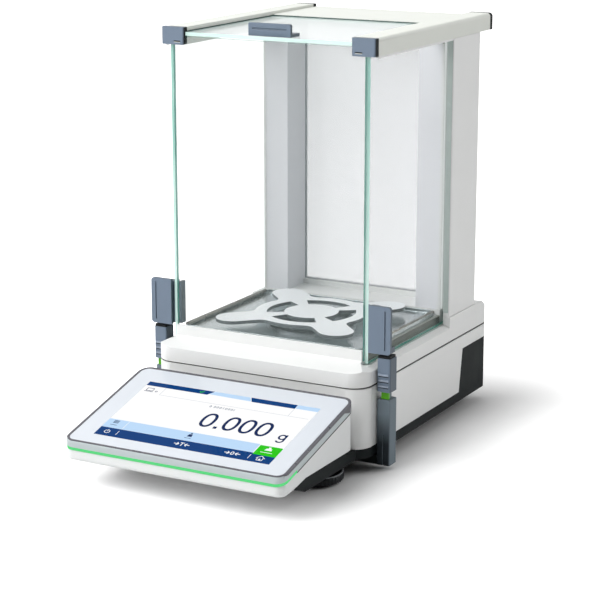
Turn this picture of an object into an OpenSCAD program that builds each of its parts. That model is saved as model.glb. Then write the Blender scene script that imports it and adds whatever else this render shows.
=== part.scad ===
// Precision balance with a glass draft shield and a tilted touch terminal.
// Millimetres, +Z up, the bench at z = 0, the front of the balance towards -Y.
// Depths in the sizes below are counted from the plane of the front edges of the side doors.

/* [Base] */
// Width of the base across its sides
base_w = 193.2; // [186:0.2:204]
// Reach of the base in front of the door plane
base_front = 22.7; // [20:0.1:28]
// Reach of the base behind the door plane
base_back = 222.2; // [218:0.2:240]
// Radius of the two front corners of the base
base_front_r = 16; // [10:1:18]
// Radius of the two back corners of the base
base_back_r = 8; // [5:1:10]
// Wall of the housings and of the plinth
wall = 2.6; // [2:0.1:3]
// Height of the underside of the plinth over the bench
plinth_z = 12.4; // [12:0.1:15]
// Height of the dark band of the plinth
plinth_h = 8.2; // [6:0.2:10]
// Height of the parting line between the two white housings
parting_z = 70.6; // [68:0.2:74]
// Height of the visible parting groove
parting_groove = 0.7; // [0.4:0.1:1]
// Rise of the upper wall from the parting line to the shoulder
shoulder_rise = 12; // [10:0.5:14]
// Rise of the sloped shoulder up to the foot of the front step
shoulder_slope = 4.6; // [3:0.2:6]
// Height of the deck that carries the tray
deck_z = 92.4; // [91:0.1:95]
// Height of the front step over the deck
step_h = 4.8; // [4:0.1:6]
// Reach of the front step before the door plane
step_reach = 4; // [3.6:0.1:5]
// Height of the back wall under the rear pane, over the front step
ridge_h = 4.3; // [3:0.1:6]
// Drop of the top of the rear blocks below the front step
rear_block_drop = 5.2; // [4:0.2:6]

/* [Back panel] */
// Front edge of the dark back panel at its foot
panel_y = 162.5; // [155:0.5:175]
// Lean of that front edge towards the back
panel_lean = 6.5; // [0:0.5:10]
// Height of the top edge of the dark back panel
panel_top = 58.4; // [54:0.2:64]

/* [Draft shield] */
// Height of the underside of the top rails
rail_z = 328.3; // [280:0.5:360]
// Height of a top rail
rail_h = 14.1; // [13.5:0.1:18]
// Width of a top rail
rail_w = 20.3; // [19.5:0.1:24]
// Inset of the rails from the side of the base
rail_inset = 1.3; // [0.5:0.1:2]
// Radius of the outer top edge of a rail
rail_r = 3; // [1:0.5:4]
// Depth of the dark cap at the front of a rail
cap_front = 4.1; // [3.6:0.1:5]
// Reach of the front cap behind the door plane
cap_back = 1.5; // [1.4:0.1:2]
// Thickness of the dark cap at the back of a rail
end_cap_t = 5; // [2:0.5:6]
// Front face of the columns, behind the door plane
column_y = 144.5; // [140:0.5:150]
// Depth of a column
column_d = 36.5; // [30:0.5:40]
// Width of a column
column_w = 23.4; // [16:0.2:24]
// Wall of the hollow columns
column_wall = 2.2; // [1.6:0.1:3]
// Thickness of the outer cover of a column
cover_t = 5.3; // [5:0.1:6]
// Depth of the outer cover of a column
cover_d = 55; // [48:0.5:58]
// Lead of the cover before the front face of the column
cover_lead = 3.5; // [1:0.5:5]
// Setback of the front edge of the left cover behind that of the right one
left_cover_setback = 25; // [0:0.5:30]
// Thickness of the front pane
front_glass_t = 3; // [2.5:0.1:3.2]
// Thickness of the rear pane
rear_glass_t = 3.4; // [3:0.1:4]
// Thickness of the fixed panel over the back of the chamber
top_panel_t = 1.2; // [1:0.1:1.4]
// Drop of that panel below the tops of the rails
top_panel_drop = 2.4; // [1.8:0.1:2.6]

/* [Doors] */
// Thickness of the side door panes
door_glass_t = 3.2; // [3:0.1:4]
// Length of a side door pane behind the face of the column
door_overlap = 15.5; // [8:0.5:25]
// Height of the floor of the door track
track_z = 85; // [84.4:0.1:86]
// Height of the glides under a side door
glide_h = 0.7; // [0.5:0.1:1]
// Depth of the track in the rail over a side door
track_depth = 4.1; // [3:0.1:4.5]
// Thickness of the top door pane
top_glass_t = 2.8; // [2.5:0.1:3.2]
// Depth of the groove that carries the top door
groove_d = 4.2; // [3:0.1:5]
// Running gap of panes in their tracks
pane_gap = 0.4; // [0.3:0.05:0.5]
// Width of the top door's handle
top_handle_w = 38; // [30:1:60]
// Height of the top door's handle over its pane
top_handle_h = 10.2; // [8:0.2:14]
// Depth of the top door's handle
top_handle_d = 15; // [12:0.5:20]
// Thickness of the plates of the handles
handle_t = 3; // [2.4:0.1:3.4]
// Width of a side door's handle plate
handle_w = 19.3; // [18:0.1:26]
// Height of a side door's handle plate
handle_h = 38.4; // [32:0.2:50]
// Gap between the foot of a handle and its coupler
handle_gap = 3.9; // [3:0.1:5]

/* [Door yoke] */
// Gap between the side of the base and a lever
lever_gap = 1; // [0.6:0.1:2]
// Width of a lever
lever_w = 11.3; // [11:0.1:14]
// Depth of a lever
lever_d = 12.1; // [11.6:0.1:14]
// Height of the foot of a lever over the bench
lever_z = 4; // [3:0.1:4.4]
// Height of the top of a lever
lever_top = 58.6; // [54:0.2:62]
// Height of a coupler
coupler_h = 27.4; // [24:0.2:29]
// Travel of a coupler from engaged to released
coupler_travel = 6; // [4:0.5:6]
// Diameter of the pin that joins a coupler to its door
dog_d = 4; // [3:0.1:4.6]
// Diameter of the rods that the yoke runs on
rod_d = 4; // [3:0.1:4.4]
// Distance of each rod from the middle
rod_x = 45; // [30:1:55]
// Travel of the doors and of the yoke
door_travel = 125; // [80:1:126]

/* [Pan and tray] */
// Radius of the ring of the weighing pan
pan_ring_r = 47.8; // [44:0.2:52]
// Width of the four arms of the pan
pan_arm_w = 29.3; // [20:0.1:32]
// Reach of an arm from the middle of the pan
pan_reach = 82.5; // [74:0.5:84]
// Inner radius of the curved slots of the pan
slot_inner_r = 23; // [21:0.2:26]
// Outer radius of the curved slots of the pan
slot_outer_r = 37.5; // [36.5:0.2:40]
// Half angle of a curved slot
slot_angle = 34; // [28:1:36]
// Thickness of the weighing pan
pan_t = 3; // [2:0.1:4]
// Height of the top of the pan over the deck
pan_rise = 9.4; // [9:0.1:12]
// Radius of the seat of the pan on its spigot
spigot_r = 6; // [4:0.1:8]
// Thickness of the sheet of the tray
sheet_t = 0.8; // [0.5:0.1:1]
// Height of the rim of the tray
tray_rim_h = 3.7; // [3:0.1:4.4]
// Corner radius of the tray
tray_r = 8; // [4:1:12]

/* [Terminal] */
// Reach of the terminal's front edge before the door plane
terminal_reach = 153; // [148:0.5:170]
// Width of the terminal
terminal_w = 194; // [186:0.5:198]
// Distance of the terminal's back edge before the door plane
terminal_back = 37; // [36:0.5:42]
// Radius of the terminal's front corners
terminal_r = 8; // [7:1:14]
// Radius of its back corners
terminal_back_r = 9; // [5:0.5:10]
// Tilt of the screen
screen_tilt = 14.2; // [10:0.2:17]
// Height of the screen's plane at the front edge of the terminal
screen_front_z = 38.8; // [37:0.2:44]
// Inset of the touch glass inside the terminal's outline
bezel_inset = 2.4; // [2:0.1:4]
// Thickness of the touch glass
touch_glass_t = 1.8; // [1:0.1:2]
// Rise of the dark rim over the touch glass
rim_rise = 0.2; // [0:0.1:0.6]
// Depth of the dark rim below the face of the glass at the front
rim_front_d = 0.4; // [0.2:0.1:1]
// Depth of the dark rim below the face of the glass at the back
rim_back_d = 2.6; // [2:0.1:3.4]
// Width of the silver lip outside the dark rim
rim_lip = 0.5; // [0.3:0.1:1]
// Depth of the foot of the silver frame below the face of the glass
frame_d = 5.3; // [5:0.1:6.4]
// Height of the light line
light_h = 2; // [1:0.1:2.4]
// Length of the light line along the sides, from the front edge
light_side = 21; // [15:1:30]
// Gap between the display and the frame at the sides
display_side = 4.3; // [1:0.1:10]
// Gap between the display and the frame at the front
display_front = 0.6; // [0.4:0.1:6]
// Gap between the display and the frame at the back
display_back = 4.9; // [2.4:0.1:10]
// Thickness of the display
display_t = 5; // [3:0.5:6]
// Length of the neck's chamfer under the front of the terminal
neck_chamfer = 28; // [15:1:35]
// Inset of the neck from the sides of the terminal
neck_inset = 7.5; // [5:0.5:12]
// Height of the neck over the underside of the plinth
neck_h = 15.6; // [14.6:0.1:16.2]
// Drop of the chin at the front of the terminal below the top of the neck
chin_drop = 5.4; // [4:0.1:6]
// Depth of the foot of the chin
chin_d = 8; // [5:0.5:12]
// Length of the slope from the foot of the chin up to the neck
chin_slope = 29; // [20:0.5:34]

/* [Weighing works] */
// Width of the load cell
cell_w = 36; // [28:1:44]
// Depth of the load cell
cell_d = 46; // [40:1:50]
// Radius of the round flexures of the load cell
flexure_r = 3; // [2:0.2:4]
// Thickness of the plate under the load cell
cell_plate_t = 4; // [3:0.2:5]
// Width of the plate under the load cell
cell_plate_w = 80; // [78:1:100]
// Distance of the coil behind the middle of the pan
coil_reach = 57.5; // [50:0.5:62]
// Outer radius of the coil
coil_r = 14; // [12:0.5:16]
// Thickness of the coil's winding
coil_t = 3; // [2:0.2:4]
// Height of the coil
coil_h = 24; // [20:0.5:28]
// Height of the magnet pot
magnet_h = 31; // [28:0.5:34]
// Air gap on each side of the coil
coil_gap = 1; // [0.6:0.1:1.5]
// Radius of the calibration weight
weight_r = 9; // [6:0.5:10]
// Length of the calibration weight
weight_l = 46; // [40:1:52]
// Distance of the calibration weight before the middle of the pan
weight_reach = 36.5; // [34:0.5:38]
// Radius of the calibration motor
motor_r = 7; // [5:0.5:8]
// Height of the calibration motor
motor_h = 26; // [20:1:30]
// Thickness of the circuit boards
board_t = 1.6; // [1:0.1:2]

/* [Feet] */
// Distance of a foot's axis from the side of the base
foot_inset = 29.6; // [28:0.2:40]
// Distance of the front feet before the front of the base
foot_lead = 23.3; // [22.8:0.1:30]
// Radius of a levelling wheel
wheel_r = 22; // [18:0.5:22]
// Radius of the foot screws
screw_r = 4; // [3:0.1:5]
// Distance of the rear feet from the back of the base
rear_foot_inset = 34.2; // [32:0.2:45]
// Radius of the rear feet
rear_foot_r = 13; // [10:0.5:16]

/* [Hidden] */
$fn = 64;
fit = 0.06;
seat_gap = 0.3;
eps = 0.02;
far = 600;

white = "#dcdfdb";
dark = "#34393b";
slate = "#7d8a9a";
steel = "#c9ced1";
glass = "#bfe3da";

// Depth of the door plane, which centres the model between the terminal and the back
door_plane = (terminal_reach - base_back) / 2;

// Heights, from the bench upwards
plinth_top = plinth_z + plinth_h;
floor_z = plinth_z + wall;
shoulder_z = parting_z + shoulder_rise;
step_foot_z = shoulder_z + shoulder_slope;
step_foot_y = -step_reach - 2;
step_z = deck_z + step_h;
ridge_z = step_z + ridge_h;
block_z = step_z - rear_block_drop;
door_z = track_z + seat_gap + glide_h;
door_top = rail_z + track_depth - pane_gap - 1;
rail_top = rail_z + rail_h;
top_panel_z = rail_top - top_panel_drop - top_panel_t;
top_glass_z1 = top_panel_z - seat_gap;
top_glass_z0 = top_glass_z1 - top_glass_t;
front_glass_top = top_glass_z0 - 2 * pane_gap;

// Places over the width, from the outside inwards
side_x = base_w / 2;
rail_x1 = side_x - rail_inset;
rail_x0 = rail_x1 - rail_w;
cover_x0 = rail_x1 - cover_t;
door_x1 = cover_x0 - 0.6;
door_x0 = door_x1 - door_glass_t;
core_x = door_x0 - 0.5;
column_x0 = core_x - column_w;
front_glass_x = door_x0 - pane_gap;
clamp_x0 = door_x0 - 2.3;
tray_x = clamp_x0 - 0.5;
lever_x0 = side_x + lever_gap;
lever_x1 = lever_x0 + lever_w;

// Core of a rail, where the front cap plugs in
rail_core_w = 8;
rail_core_h = 4;
rail_core_x = rail_x0 + groove_d + 3;
rail_core_z = rail_z + track_depth + 2.4;

// Places over the depth, from the door plane backwards
front_glass_y0 = 1 - front_glass_t;
front_glass_y1 = 1;
tray_y0 = front_glass_y1 + 1.5;
tray_y1 = column_y - 2;
pan_y = (tray_y0 + tray_y1) / 2;
cover_y0 = column_y - cover_lead;
cover_y1 = cover_y0 + cover_d;
column_y1 = column_y + column_d;
rail_y1 = base_back - 1 - end_cap_t;
top_panel_y0 = column_y - 2.5;
top_door_y0 = front_glass_y0 + 0.5;
top_door_y1 = top_panel_y0 + 4;
rear_glass_y0 = column_y1 - rear_glass_t - 0.6;
ridge_y0 = rear_glass_y0 - 3;
ridge_y1 = rear_glass_y0 + rear_glass_t + 3;
door_y1 = column_y + door_overlap;

// Side doors, couplers and yoke
handle_x0 = door_x1 + 1.5;
handle_x1 = handle_x0 + handle_w;
handle_y0 = -3.4;
clamp_y1 = 8;
clamp_y = 4.4;
clamp_drop = 2;
clamp_screw_r = 2;
coupler_z = lever_top + coupler_travel + 0.3;
coupler_top = coupler_z + coupler_h;
handle_z = coupler_top + handle_gap;
coupler_y0 = -1.2;
coupler_y1 = 10.4;
dog_x = lever_x0 + lever_w / 2;
dog_y = 5;
dog_top = handle_z + coupler_travel - 4.2;
lug_w = 10;
flag_x0 = dog_x - 2.6;
flag_x1 = dog_x + 4.2;
flag_y = 0.7;
lug_top = dog_top + 2.4;
lever_y0 = -0.3;
yoke_top = plinth_z - 1;
rod_z = (lever_z + yoke_top) / 2;
hanger_l = 8;
hanger_front_y = lever_y0 - 1 - hanger_l;
hanger_back_y = lever_y0 + lever_d + door_travel + 2;
post_w = 6;
post_d = 5.5;
post_y0 = 3;
post_top = coupler_z + coupler_h - coupler_travel - 2.6;

// Terminal, seen along the tilted plane of its screen
neck_x = terminal_w / 2 - neck_inset;
neck_setback = 20;
neck_front = terminal_reach - neck_setback;
neck_nose = neck_front - neck_chamfer;
neck_top = plinth_z + neck_h;
neck_open = terminal_back + 2 * wall + 2;
neck_rear = terminal_back + 1;
frame_z = -frame_d;
case_top = frame_z - light_h;
ring_inset = bezel_inset - 0.2;
frame_inset = bezel_inset + 6.8;
light_inset = bezel_inset + 3.8;
chin_z = neck_top - chin_drop;
chin_y = -terminal_reach + chin_d;
chin_lean = chin_drop / chin_slope;
neck_front_z = chin_z + (-neck_front - chin_y) * chin_lean;
rim_taper = atan((rim_back_d - rim_front_d) * cos(screen_tilt) / (terminal_reach - terminal_back));
display_x = terminal_w / 2 - frame_inset - display_side;
display_v0 = (frame_inset + display_front) / cos(screen_tilt);
display_v1 = (terminal_reach - terminal_back - frame_inset - display_back) / cos(screen_tilt);
light_back_y = -terminal_reach + 1 + light_side;
foot_x = side_x - foot_inset;
foot_y = base_front + foot_lead;
rear_foot_y = base_back - rear_foot_inset;

// Inner works
cell_z = floor_z + cell_plate_t;
spigot_drop = 24.4;
cell_top = deck_z - spigot_drop;
coil_y = pan_y + coil_reach;
coil_z0 = cell_z + 13;
coil_z1 = coil_z0 + coil_h;
magnet_r = coil_r + coil_gap + 5;
weight_y = pan_y - weight_reach;
cradle_h = 12;
cradle_x = weight_l / 2 - 7;
post_r = 5;
post_inset = 18.6;
screw_post_x = side_x - post_inset;
post_front_inset = 10.7;
post_back_inset = 17.2;
screw_post_front = base_front - post_front_inset;
screw_post_back = base_back - post_back_inset;
port_d = 13;
port_rise = 22;
beam_tail = 8;
board_x = screw_post_x - 2 * post_r;
board_y = base_back - wall - port_d;
port_z = floor_z + port_rise;

// Shared shapes

// Moves a shape drawn from the door plane into the model's frame
module at_doors() {
    translate([0, door_plane, 0]) children();
}

// Keeps a shape on the right for side 1, or mirrors it to the left for side -1
module on_side(side) {
    mirror([side < 0 ? 1 : 0, 0, 0]) children();
}

// A block between two corners
module block(lo, hi) {
    translate(lo) cube(hi - lo);
}

// A flat outline with its own corner radii at the front and at the back
module outline(x, y0, y1, r_front, r_back) {
    translate([-x, y0 + r_front]) square([2 * x, y1 - y0 - r_front - r_back]);
    translate([-x + r_front, y0]) square([2 * (x - r_front), 2 * r_front]);
    translate([-x + r_back, y1 - 2 * r_back]) square([2 * (x - r_back), 2 * r_back]);
    for (s = [-1, 1]) {
        translate([s * (x - r_front), y0 + r_front]) circle(r_front);
        translate([s * (x - r_back), y1 - r_back]) circle(r_back);
    }
}

// The plan of the base, drawn in by an inset
module base_plan(inset) {
    outline(side_x - inset, -base_front + inset, base_back - inset,
            base_front_r - inset, base_back_r - inset);
}

// A prism over the plan of the base
module base_prism(inset, z0, z1) {
    translate([0, 0, z0]) linear_extrude(z1 - z0) base_plan(inset);
}

// A profile of depth and height, run across the width between two places
module across(x0, x1, points) {
    translate([x0, 0, 0]) rotate([90, 0, 90]) linear_extrude(x1 - x0) polygon(points);
}

// A profile of width and height, run from front to back between two depths
module along(y0, y1) {
    translate([0, y1, 0]) rotate([90, 0, 0]) linear_extrude(y1 - y0) children();
}

// The side of the base that the dark back panel covers
module panel_zone(z0, z1) {
    lean = panel_lean / (panel_top - plinth_top);
    across(-far / 2, far / 2, [
        [panel_y + lean * (z0 - plinth_top), z0],
        [far, z0],
        [far, z1],
        [panel_y + lean * (z1 - plinth_top), z1]
    ]);
}

// Base

// The places of the four screw posts
function post_places() = [
    for (x = [-screw_post_x, screw_post_x]) for (y = [-screw_post_front, screw_post_back]) [x, y]
];

// Dark bottom tray with the plinth band, the back panel and the foot of the terminal
module base_tray() {
    color(dark) at_doors() difference() {
        union() {
            base_prism(0, plinth_z, plinth_top);
            intersection() {
                base_prism(0, plinth_z, panel_top);
                panel_zone(plinth_top - eps, panel_top);
            }
            across(-neck_x, neck_x, [
                [-base_front + base_front_r, plinth_z],
                [-base_front + base_front_r, plinth_top],
                [-neck_rear, plinth_top],
                [-neck_rear, neck_top],
                [chin_y + chin_slope, neck_top],
                [-neck_front, neck_front_z],
                [-neck_front, neck_front_z - 1.5],
                [-neck_nose, plinth_z]
            ]);
        }
        difference() {
            base_prism(wall, floor_z, panel_top + 1);
            block([-far, -base_front - 1, floor_z], [far, -base_front + wall, far]);
        }
        difference() {
            union() {
                block([-neck_x + wall, -neck_nose, floor_z], [neck_x - wall, -neck_open, neck_top + 1]);
                block([-neck_x + wall, -neck_nose, floor_z],
                      [neck_x - wall, -base_front - wall, plinth_top - wall]);
            }
            for (s = [-1, 1]) translate([s * foot_x, -foot_y, 0]) cylinder(r = screw_r + 5, h = far);
        }
        for (s = [-1, 1]) translate([s * foot_x, -foot_y, 0]) cylinder(r = screw_r + 2 * fit, h = far);
        for (p = post_places()) translate(concat(p, 0)) cylinder(r = 1.8, h = floor_z + 1);
        rear_port_cuts();
    }
}

// Width, height and place over the width of each connector on the back
function ports() = [[9, 11, -52], [12, 11, -30], [16, 13, -6], [16, 13, 18], [31, 12, 50]];

// Openings of the back panel for the connectors
module rear_port_cuts() {
    for (p = ports())
        block([p[2] - p[0] / 2, base_back - wall - 1, port_z - p[1] / 2],
              [p[2] + p[0] / 2, base_back + 1, port_z + p[1] / 2]);
}

// White lower housing, open below and above
module lower_housing() {
    color(white) at_doors() difference() {
        union() {
            base_prism(0, plinth_top, parting_z - parting_groove);
            base_prism(parting_groove, parting_z - parting_groove - eps, parting_z);
        }
        base_prism(wall, plinth_top - 1, parting_z + 1);
        panel_zone(plinth_top - 1, panel_top);
    }
}

// White upper housing with the front step, the tray deck, the door tracks and the rear blocks
module upper_housing() {
    color(white) at_doors() difference() {
        union() {
            difference() {
                intersection() {
                    base_prism(0, parting_z, ridge_z);
                    across(-side_x, side_x, upper_profile());
                }
                upper_cavity();
            }
            screw_posts();
        }
        for (s = [-1, 1]) on_side(s) {
            shoulder_cut();
            block([core_x, step_foot_y, track_z], [cover_x0, far, far]);
            block([cover_x0 - eps, cover_y0, block_z], [far, far, far]);
            block([column_x0, ridge_y0 - 1, step_z], [far, ridge_y1 + 1, far]);
        }
        block([-far, front_glass_y0 - 0.1, deck_z], [far, column_y - 1, far]);
        block([-front_glass_x - 0.1, front_glass_y0 - 0.1, deck_z - 4.4],
              [front_glass_x + 0.1, front_glass_y1 + 0.1, far]);
        block([-far, rear_glass_y0 - 0.1, ridge_z - 2],
              [far, rear_glass_y0 + rear_glass_t + 0.1, far]);
        translate([0, pan_y, 0]) cylinder(r = spigot_r + 8, h = far);
        for (p = post_places()) translate(concat(p, 0)) cylinder(r = 1.6, h = floor_z + 18);
    }
}

// Outline of the upper housing from the side
function upper_profile() = [
    [-base_front, parting_z],
    [-base_front, shoulder_z],
    [step_foot_y, step_foot_z],
    [-step_reach, step_foot_z + 1.5],
    [-step_reach, step_z],
    [ridge_y0, step_z],
    [ridge_y0, ridge_z],
    [ridge_y1, ridge_z],
    [ridge_y1, step_z],
    [cover_y1 + 4, step_z],
    [base_back - 4, shoulder_z + 4],
    [base_back, shoulder_z - 2],
    [base_back, parting_z]
];

// Hollow of the upper housing
module upper_cavity() {
    base_prism(wall, parting_z - 1, shoulder_z - wall);
    block([-core_x + wall, tray_y0, parting_z], [core_x - wall, cover_y1 + 4, deck_z - wall]);
}

// Posts that take the screws from the plinth
module screw_posts() {
    for (p = post_places())
        translate([p[0], p[1], floor_z]) cylinder(r = post_r, h = shoulder_z - wall - floor_z + eps);
}

// What the shoulder leaves free beside the front step and beside the doors
module shoulder_cut() {
    along(-far, step_foot_y) polygon([
        [far, shoulder_z],
        [side_x, shoulder_z],
        [core_x, step_foot_z],
        [core_x, far],
        [far, far]
    ]);
    along(step_foot_y - eps, cover_y0) polygon([
        [far, shoulder_z],
        [side_x, shoulder_z],
        [door_x1 + 2, track_z],
        [core_x, track_z],
        [core_x, far],
        [far, far]
    ]);
}

// Connectors on the back
module rear_ports() {
    color("#8f9598") at_doors() for (p = ports())
        difference() {
            block([p[2] - p[0] / 2, board_y + board_t, port_z - p[1] / 2],
                  [p[2] + p[0] / 2, base_back - 0.8, port_z + p[1] / 2]);
            block([p[2] - p[0] / 2 + 1.2, base_back - 3.6, port_z - p[1] / 2 + 1.2],
                  [p[2] + p[0] / 2 - 1.2, base_back, port_z + p[1] / 2 - 1.2]);
        }
}

// Main circuit board, upright behind the connectors
module main_board() {
    color("#2c6b45") at_doors()
        block([-board_x, board_y, floor_z], [board_x, board_y + board_t, parting_z - 6]);
}

// Screws from below into the posts of the upper housing
module housing_screws() {
    color(steel) at_doors() for (p = post_places()) translate(concat(p, plinth_z)) {
        difference() {
            translate([0, 0, -2]) cylinder(r = 4, h = 2);
            translate([0, 0, -2 - eps]) cylinder(r = 1.6, h = 1.2, $fn = 6);
        }
        cylinder(r = 1.5, h = wall + 14);
    }
}

// Fixed rubber feet at the back
module rear_feet() {
    color("#2a2d2e") at_doors() for (s = [-1, 1]) translate([s * foot_x, rear_foot_y, 0])
        rotate_extrude() polygon([
            [0, 0],
            [rear_foot_r - 1, 0],
            [rear_foot_r, 1],
            [rear_foot_r - 2, plinth_z],
            [0, plinth_z]
        ]);
}

// Levelling feet

// Screw of a levelling foot with its pad
module foot_screw() {
    color("#2a2d2e") at_doors() translate([foot_x, -foot_y, 0]) rotate_extrude() polygon([
        [0, 0],
        [wheel_r - 5, 0],
        [wheel_r - 4, 0.6],
        [wheel_r - 4, 1.2],
        [screw_r, 1.2],
        [screw_r, neck_top - 3],
        [0, neck_top - 3]
    ]);
}

module left_foot_screw() {
    on_side(-1) foot_screw();
}

module right_foot_screw() {
    on_side(1) foot_screw();
}

// Dished wheel that turns on the screw of a levelling foot
module foot_wheel() {
    color("#3a4043") at_doors() translate([foot_x, -foot_y, 0]) rotate_extrude() polygon([
        [screw_r + fit, 1.5],
        [wheel_r - 1, 1.5],
        [wheel_r, 2.5],
        [wheel_r, 6.6],
        [wheel_r - 1.2, 7.8],
        [wheel_r - 3, 7.8],
        [wheel_r - 4.5, 5],
        [screw_r + 5, 4],
        [screw_r + 4, 8],
        [screw_r + fit, 8]
    ]);
}

module left_foot_wheel() {
    on_side(-1) foot_wheel();
}

module right_foot_wheel() {
    on_side(1) foot_wheel();
}

// Weighing works

// Plate under the load cell, with the cradle of the calibration weight
module cell_plate() {
    color(steel) at_doors() {
        block([-cell_plate_w / 2, weight_y - 2 * weight_r - 2, floor_z],
              [cell_plate_w / 2, coil_y + magnet_r + 14, cell_z]);
        for (s = [-1, 1])
            translate([s * cradle_x, 0, 0])
                block([-4, weight_y - 6, cell_z - eps], [4, weight_y + 6, cell_z + cradle_h]);
    }
}

// Monobloc load cell, cut free by round flexures and slits
module load_cell() {
    y0 = pan_y - cell_d / 2;
    flexure_z = [cell_z + 3 * flexure_r, cell_top - 3 * flexure_r];
    flexure_y = [y0 + 2 * flexure_r + 2, y0 + cell_d - 2 * flexure_r - 2];
    color("#b9bec2") at_doors() difference() {
        block([-cell_w / 2, y0, cell_z], [cell_w / 2, y0 + cell_d, cell_top]);
        for (z = flexure_z) for (y = flexure_y)
            translate([-far / 2, y, z]) rotate([0, 90, 0]) cylinder(r = flexure_r, h = far);
        for (z = flexure_z) block([-far, flexure_y[0], z - 0.5], [far, flexure_y[1], z + 0.5]);
        block([-far, flexure_y[1] - 0.5, flexure_z[0] + 8], [far, flexure_y[1] + 0.5, flexure_z[1]]);
    }
}

// Lever from the cell to the coil
module load_lever() {
    color("#b9bec2") at_doors() {
        block([-5, pan_y + cell_d / 2, coil_z1], [5, coil_y, coil_z1 + 5]);
        translate([0, coil_y, coil_z1]) cylinder(r = coil_r + 1, h = 3);
    }
}

// Magnet pot with the ring gap of the coil
module magnet_pot() {
    color("#5b6064") at_doors() translate([0, coil_y, cell_z]) difference() {
        cylinder(r = magnet_r, h = magnet_h);
        translate([0, 0, coil_z0 - cell_z - 2]) difference() {
            cylinder(r = coil_r + coil_gap, h = far);
            cylinder(r = coil_r - coil_t - coil_gap, h = far);
        }
    }
}

// Coil that hangs from the lever into the magnet's gap
module force_coil() {
    color("#b06a35") at_doors() translate([0, coil_y, coil_z0]) difference() {
        cylinder(r = coil_r, h = coil_h);
        translate([0, 0, -1]) cylinder(r = coil_r - coil_t, h = far);
    }
}

// Spigot that carries the pan
module pan_spigot() {
    color(steel) at_doors() translate([0, pan_y, cell_top]) {
        cylinder(r = spigot_r + 2, h = deck_z - wall - 4 - cell_top);
        cylinder(r = spigot_r, h = deck_z + pan_rise - pan_t - 2 - cell_top);
    }
}

// Built-in calibration weight, lying in its cradle
module calibration_weight() {
    color("#d2cfc6") at_doors() translate([-weight_l / 2, weight_y, cell_z + cradle_h + weight_r])
        rotate([0, 90, 0]) cylinder(r = weight_r, h = weight_l);
}

// Motor that lowers the calibration weight
module calibration_motor() {
    color("#7a7f83") at_doors() translate([weight_l / 2 + motor_r + 1, weight_y - 8, cell_z]) {
        cylinder(r = motor_r, h = motor_h);
        cylinder(r = 2, h = motor_h + 6);
    }
}

// Draft shield

// Hollow inner column that stands on the base and carries a rail
module column() {
    color("#d4d6d9") at_doors() difference() {
        block([column_x0, column_y, step_z], [core_x, column_y1, rail_z]);
        block([column_x0 + column_wall, column_y + column_wall, step_z - 1],
              [core_x - column_wall, rear_glass_y0 - column_wall, rail_z + 1]);
        block([column_x0 - 1, rear_glass_y0 - 0.1, step_z - 1],
              [column_x0 + 2.5, rear_glass_y0 + rear_glass_t + 0.1, rail_z + 1]);
    }
}

module left_column() {
    on_side(-1) column();
}

module right_column() {
    on_side(1) column();
}

// Outer cover beside the slot that the side door runs through, from its front edge backwards
module column_cover(y0) {
    edge = 1;
    color(white) at_doors() translate([0, 0, block_z]) linear_extrude(rail_z - block_z) {
        translate([cover_x0, y0]) square([cover_t - edge, cover_y1 - y0]);
        translate([cover_x0, y0 + edge]) square([cover_t, cover_y1 - y0 - 2 * edge]);
        for (y = [y0 + edge, cover_y1 - edge]) translate([rail_x1 - edge, y]) circle(edge);
    }
}

module left_column_cover() {
    on_side(-1) column_cover(cover_y0 + left_cover_setback);
}

module right_column_cover() {
    on_side(1) column_cover(cover_y0);
}

// Section of a rail with the groove of the top door and the track of the side door
module rail_section() {
    difference() {
        union() {
            translate([rail_x0, rail_z]) square([rail_w, rail_h - rail_r]);
            translate([rail_x0, rail_z]) square([rail_w - rail_r, rail_h]);
            translate([rail_x1 - rail_r, rail_top - rail_r]) circle(rail_r);
        }
        translate([rail_x0 - 1, top_glass_z0 - pane_gap])
            square([groove_d + 1, top_glass_t + pane_gap + seat_gap]);
        translate([door_x0 - pane_gap + 0.1, rail_z - 1])
            square([door_glass_t + 2 * pane_gap - 0.2, track_depth + 1]);
    }
}

// Top rail
module rail() {
    color(white) at_doors() along(cap_back, rail_y1) difference() {
        rail_section();
        translate([rail_core_x, rail_core_z]) square([rail_core_w, rail_core_h]);
    }
}

module left_rail() {
    on_side(-1) rail();
}

module right_rail() {
    on_side(1) rail();
}

// Cap on the front of a rail, over the top corners of the front pane and of the side door
module front_cap() {
    color(slate) at_doors() difference() {
        union() {
            translate([0, 0, rail_z]) linear_extrude(rail_h) {
                translate([rail_x0, -cap_front + 1.5]) square([rail_w, cap_front + cap_back - 1.5]);
                translate([rail_x0 + 1.5, -cap_front]) square([rail_w - 3, 3]);
                for (x = [rail_x0 + 1.5, rail_x1 - 1.5]) translate([x, -cap_front + 1.5]) circle(1.5);
            }
            block([rail_core_x + 0.2, cap_back - eps, rail_core_z + 0.2],
                  [rail_core_x + rail_core_w - 0.2, cap_back + 10, rail_core_z + rail_core_h - 0.2]);
        }
        block([rail_x0 - 1, front_glass_y0 - 0.1, rail_z - 1],
              [front_glass_x + 0.1, cap_back + eps, front_glass_top + 0.1]);
        block([door_x0 - pane_gap + 0.1, -pane_gap, rail_z - 1],
              [door_x1 + pane_gap - 0.1, cap_back + eps, rail_z + track_depth]);
        block([rail_x0 + 3, -cap_front - 1, rail_z + 2.2], [rail_x0 + 9, -cap_front + 0.6, rail_z + 3.2]);
    }
}

module left_front_cap() {
    on_side(-1) front_cap();
}

module right_front_cap() {
    on_side(1) front_cap();
}

// Dark caps on the back of both rails, open where the panes run out
module rail_end_caps() {
    color(dark) at_doors() for (s = [-1, 1]) on_side(s)
        along(rail_y1, rail_y1 + end_cap_t) rail_section();
}

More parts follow.
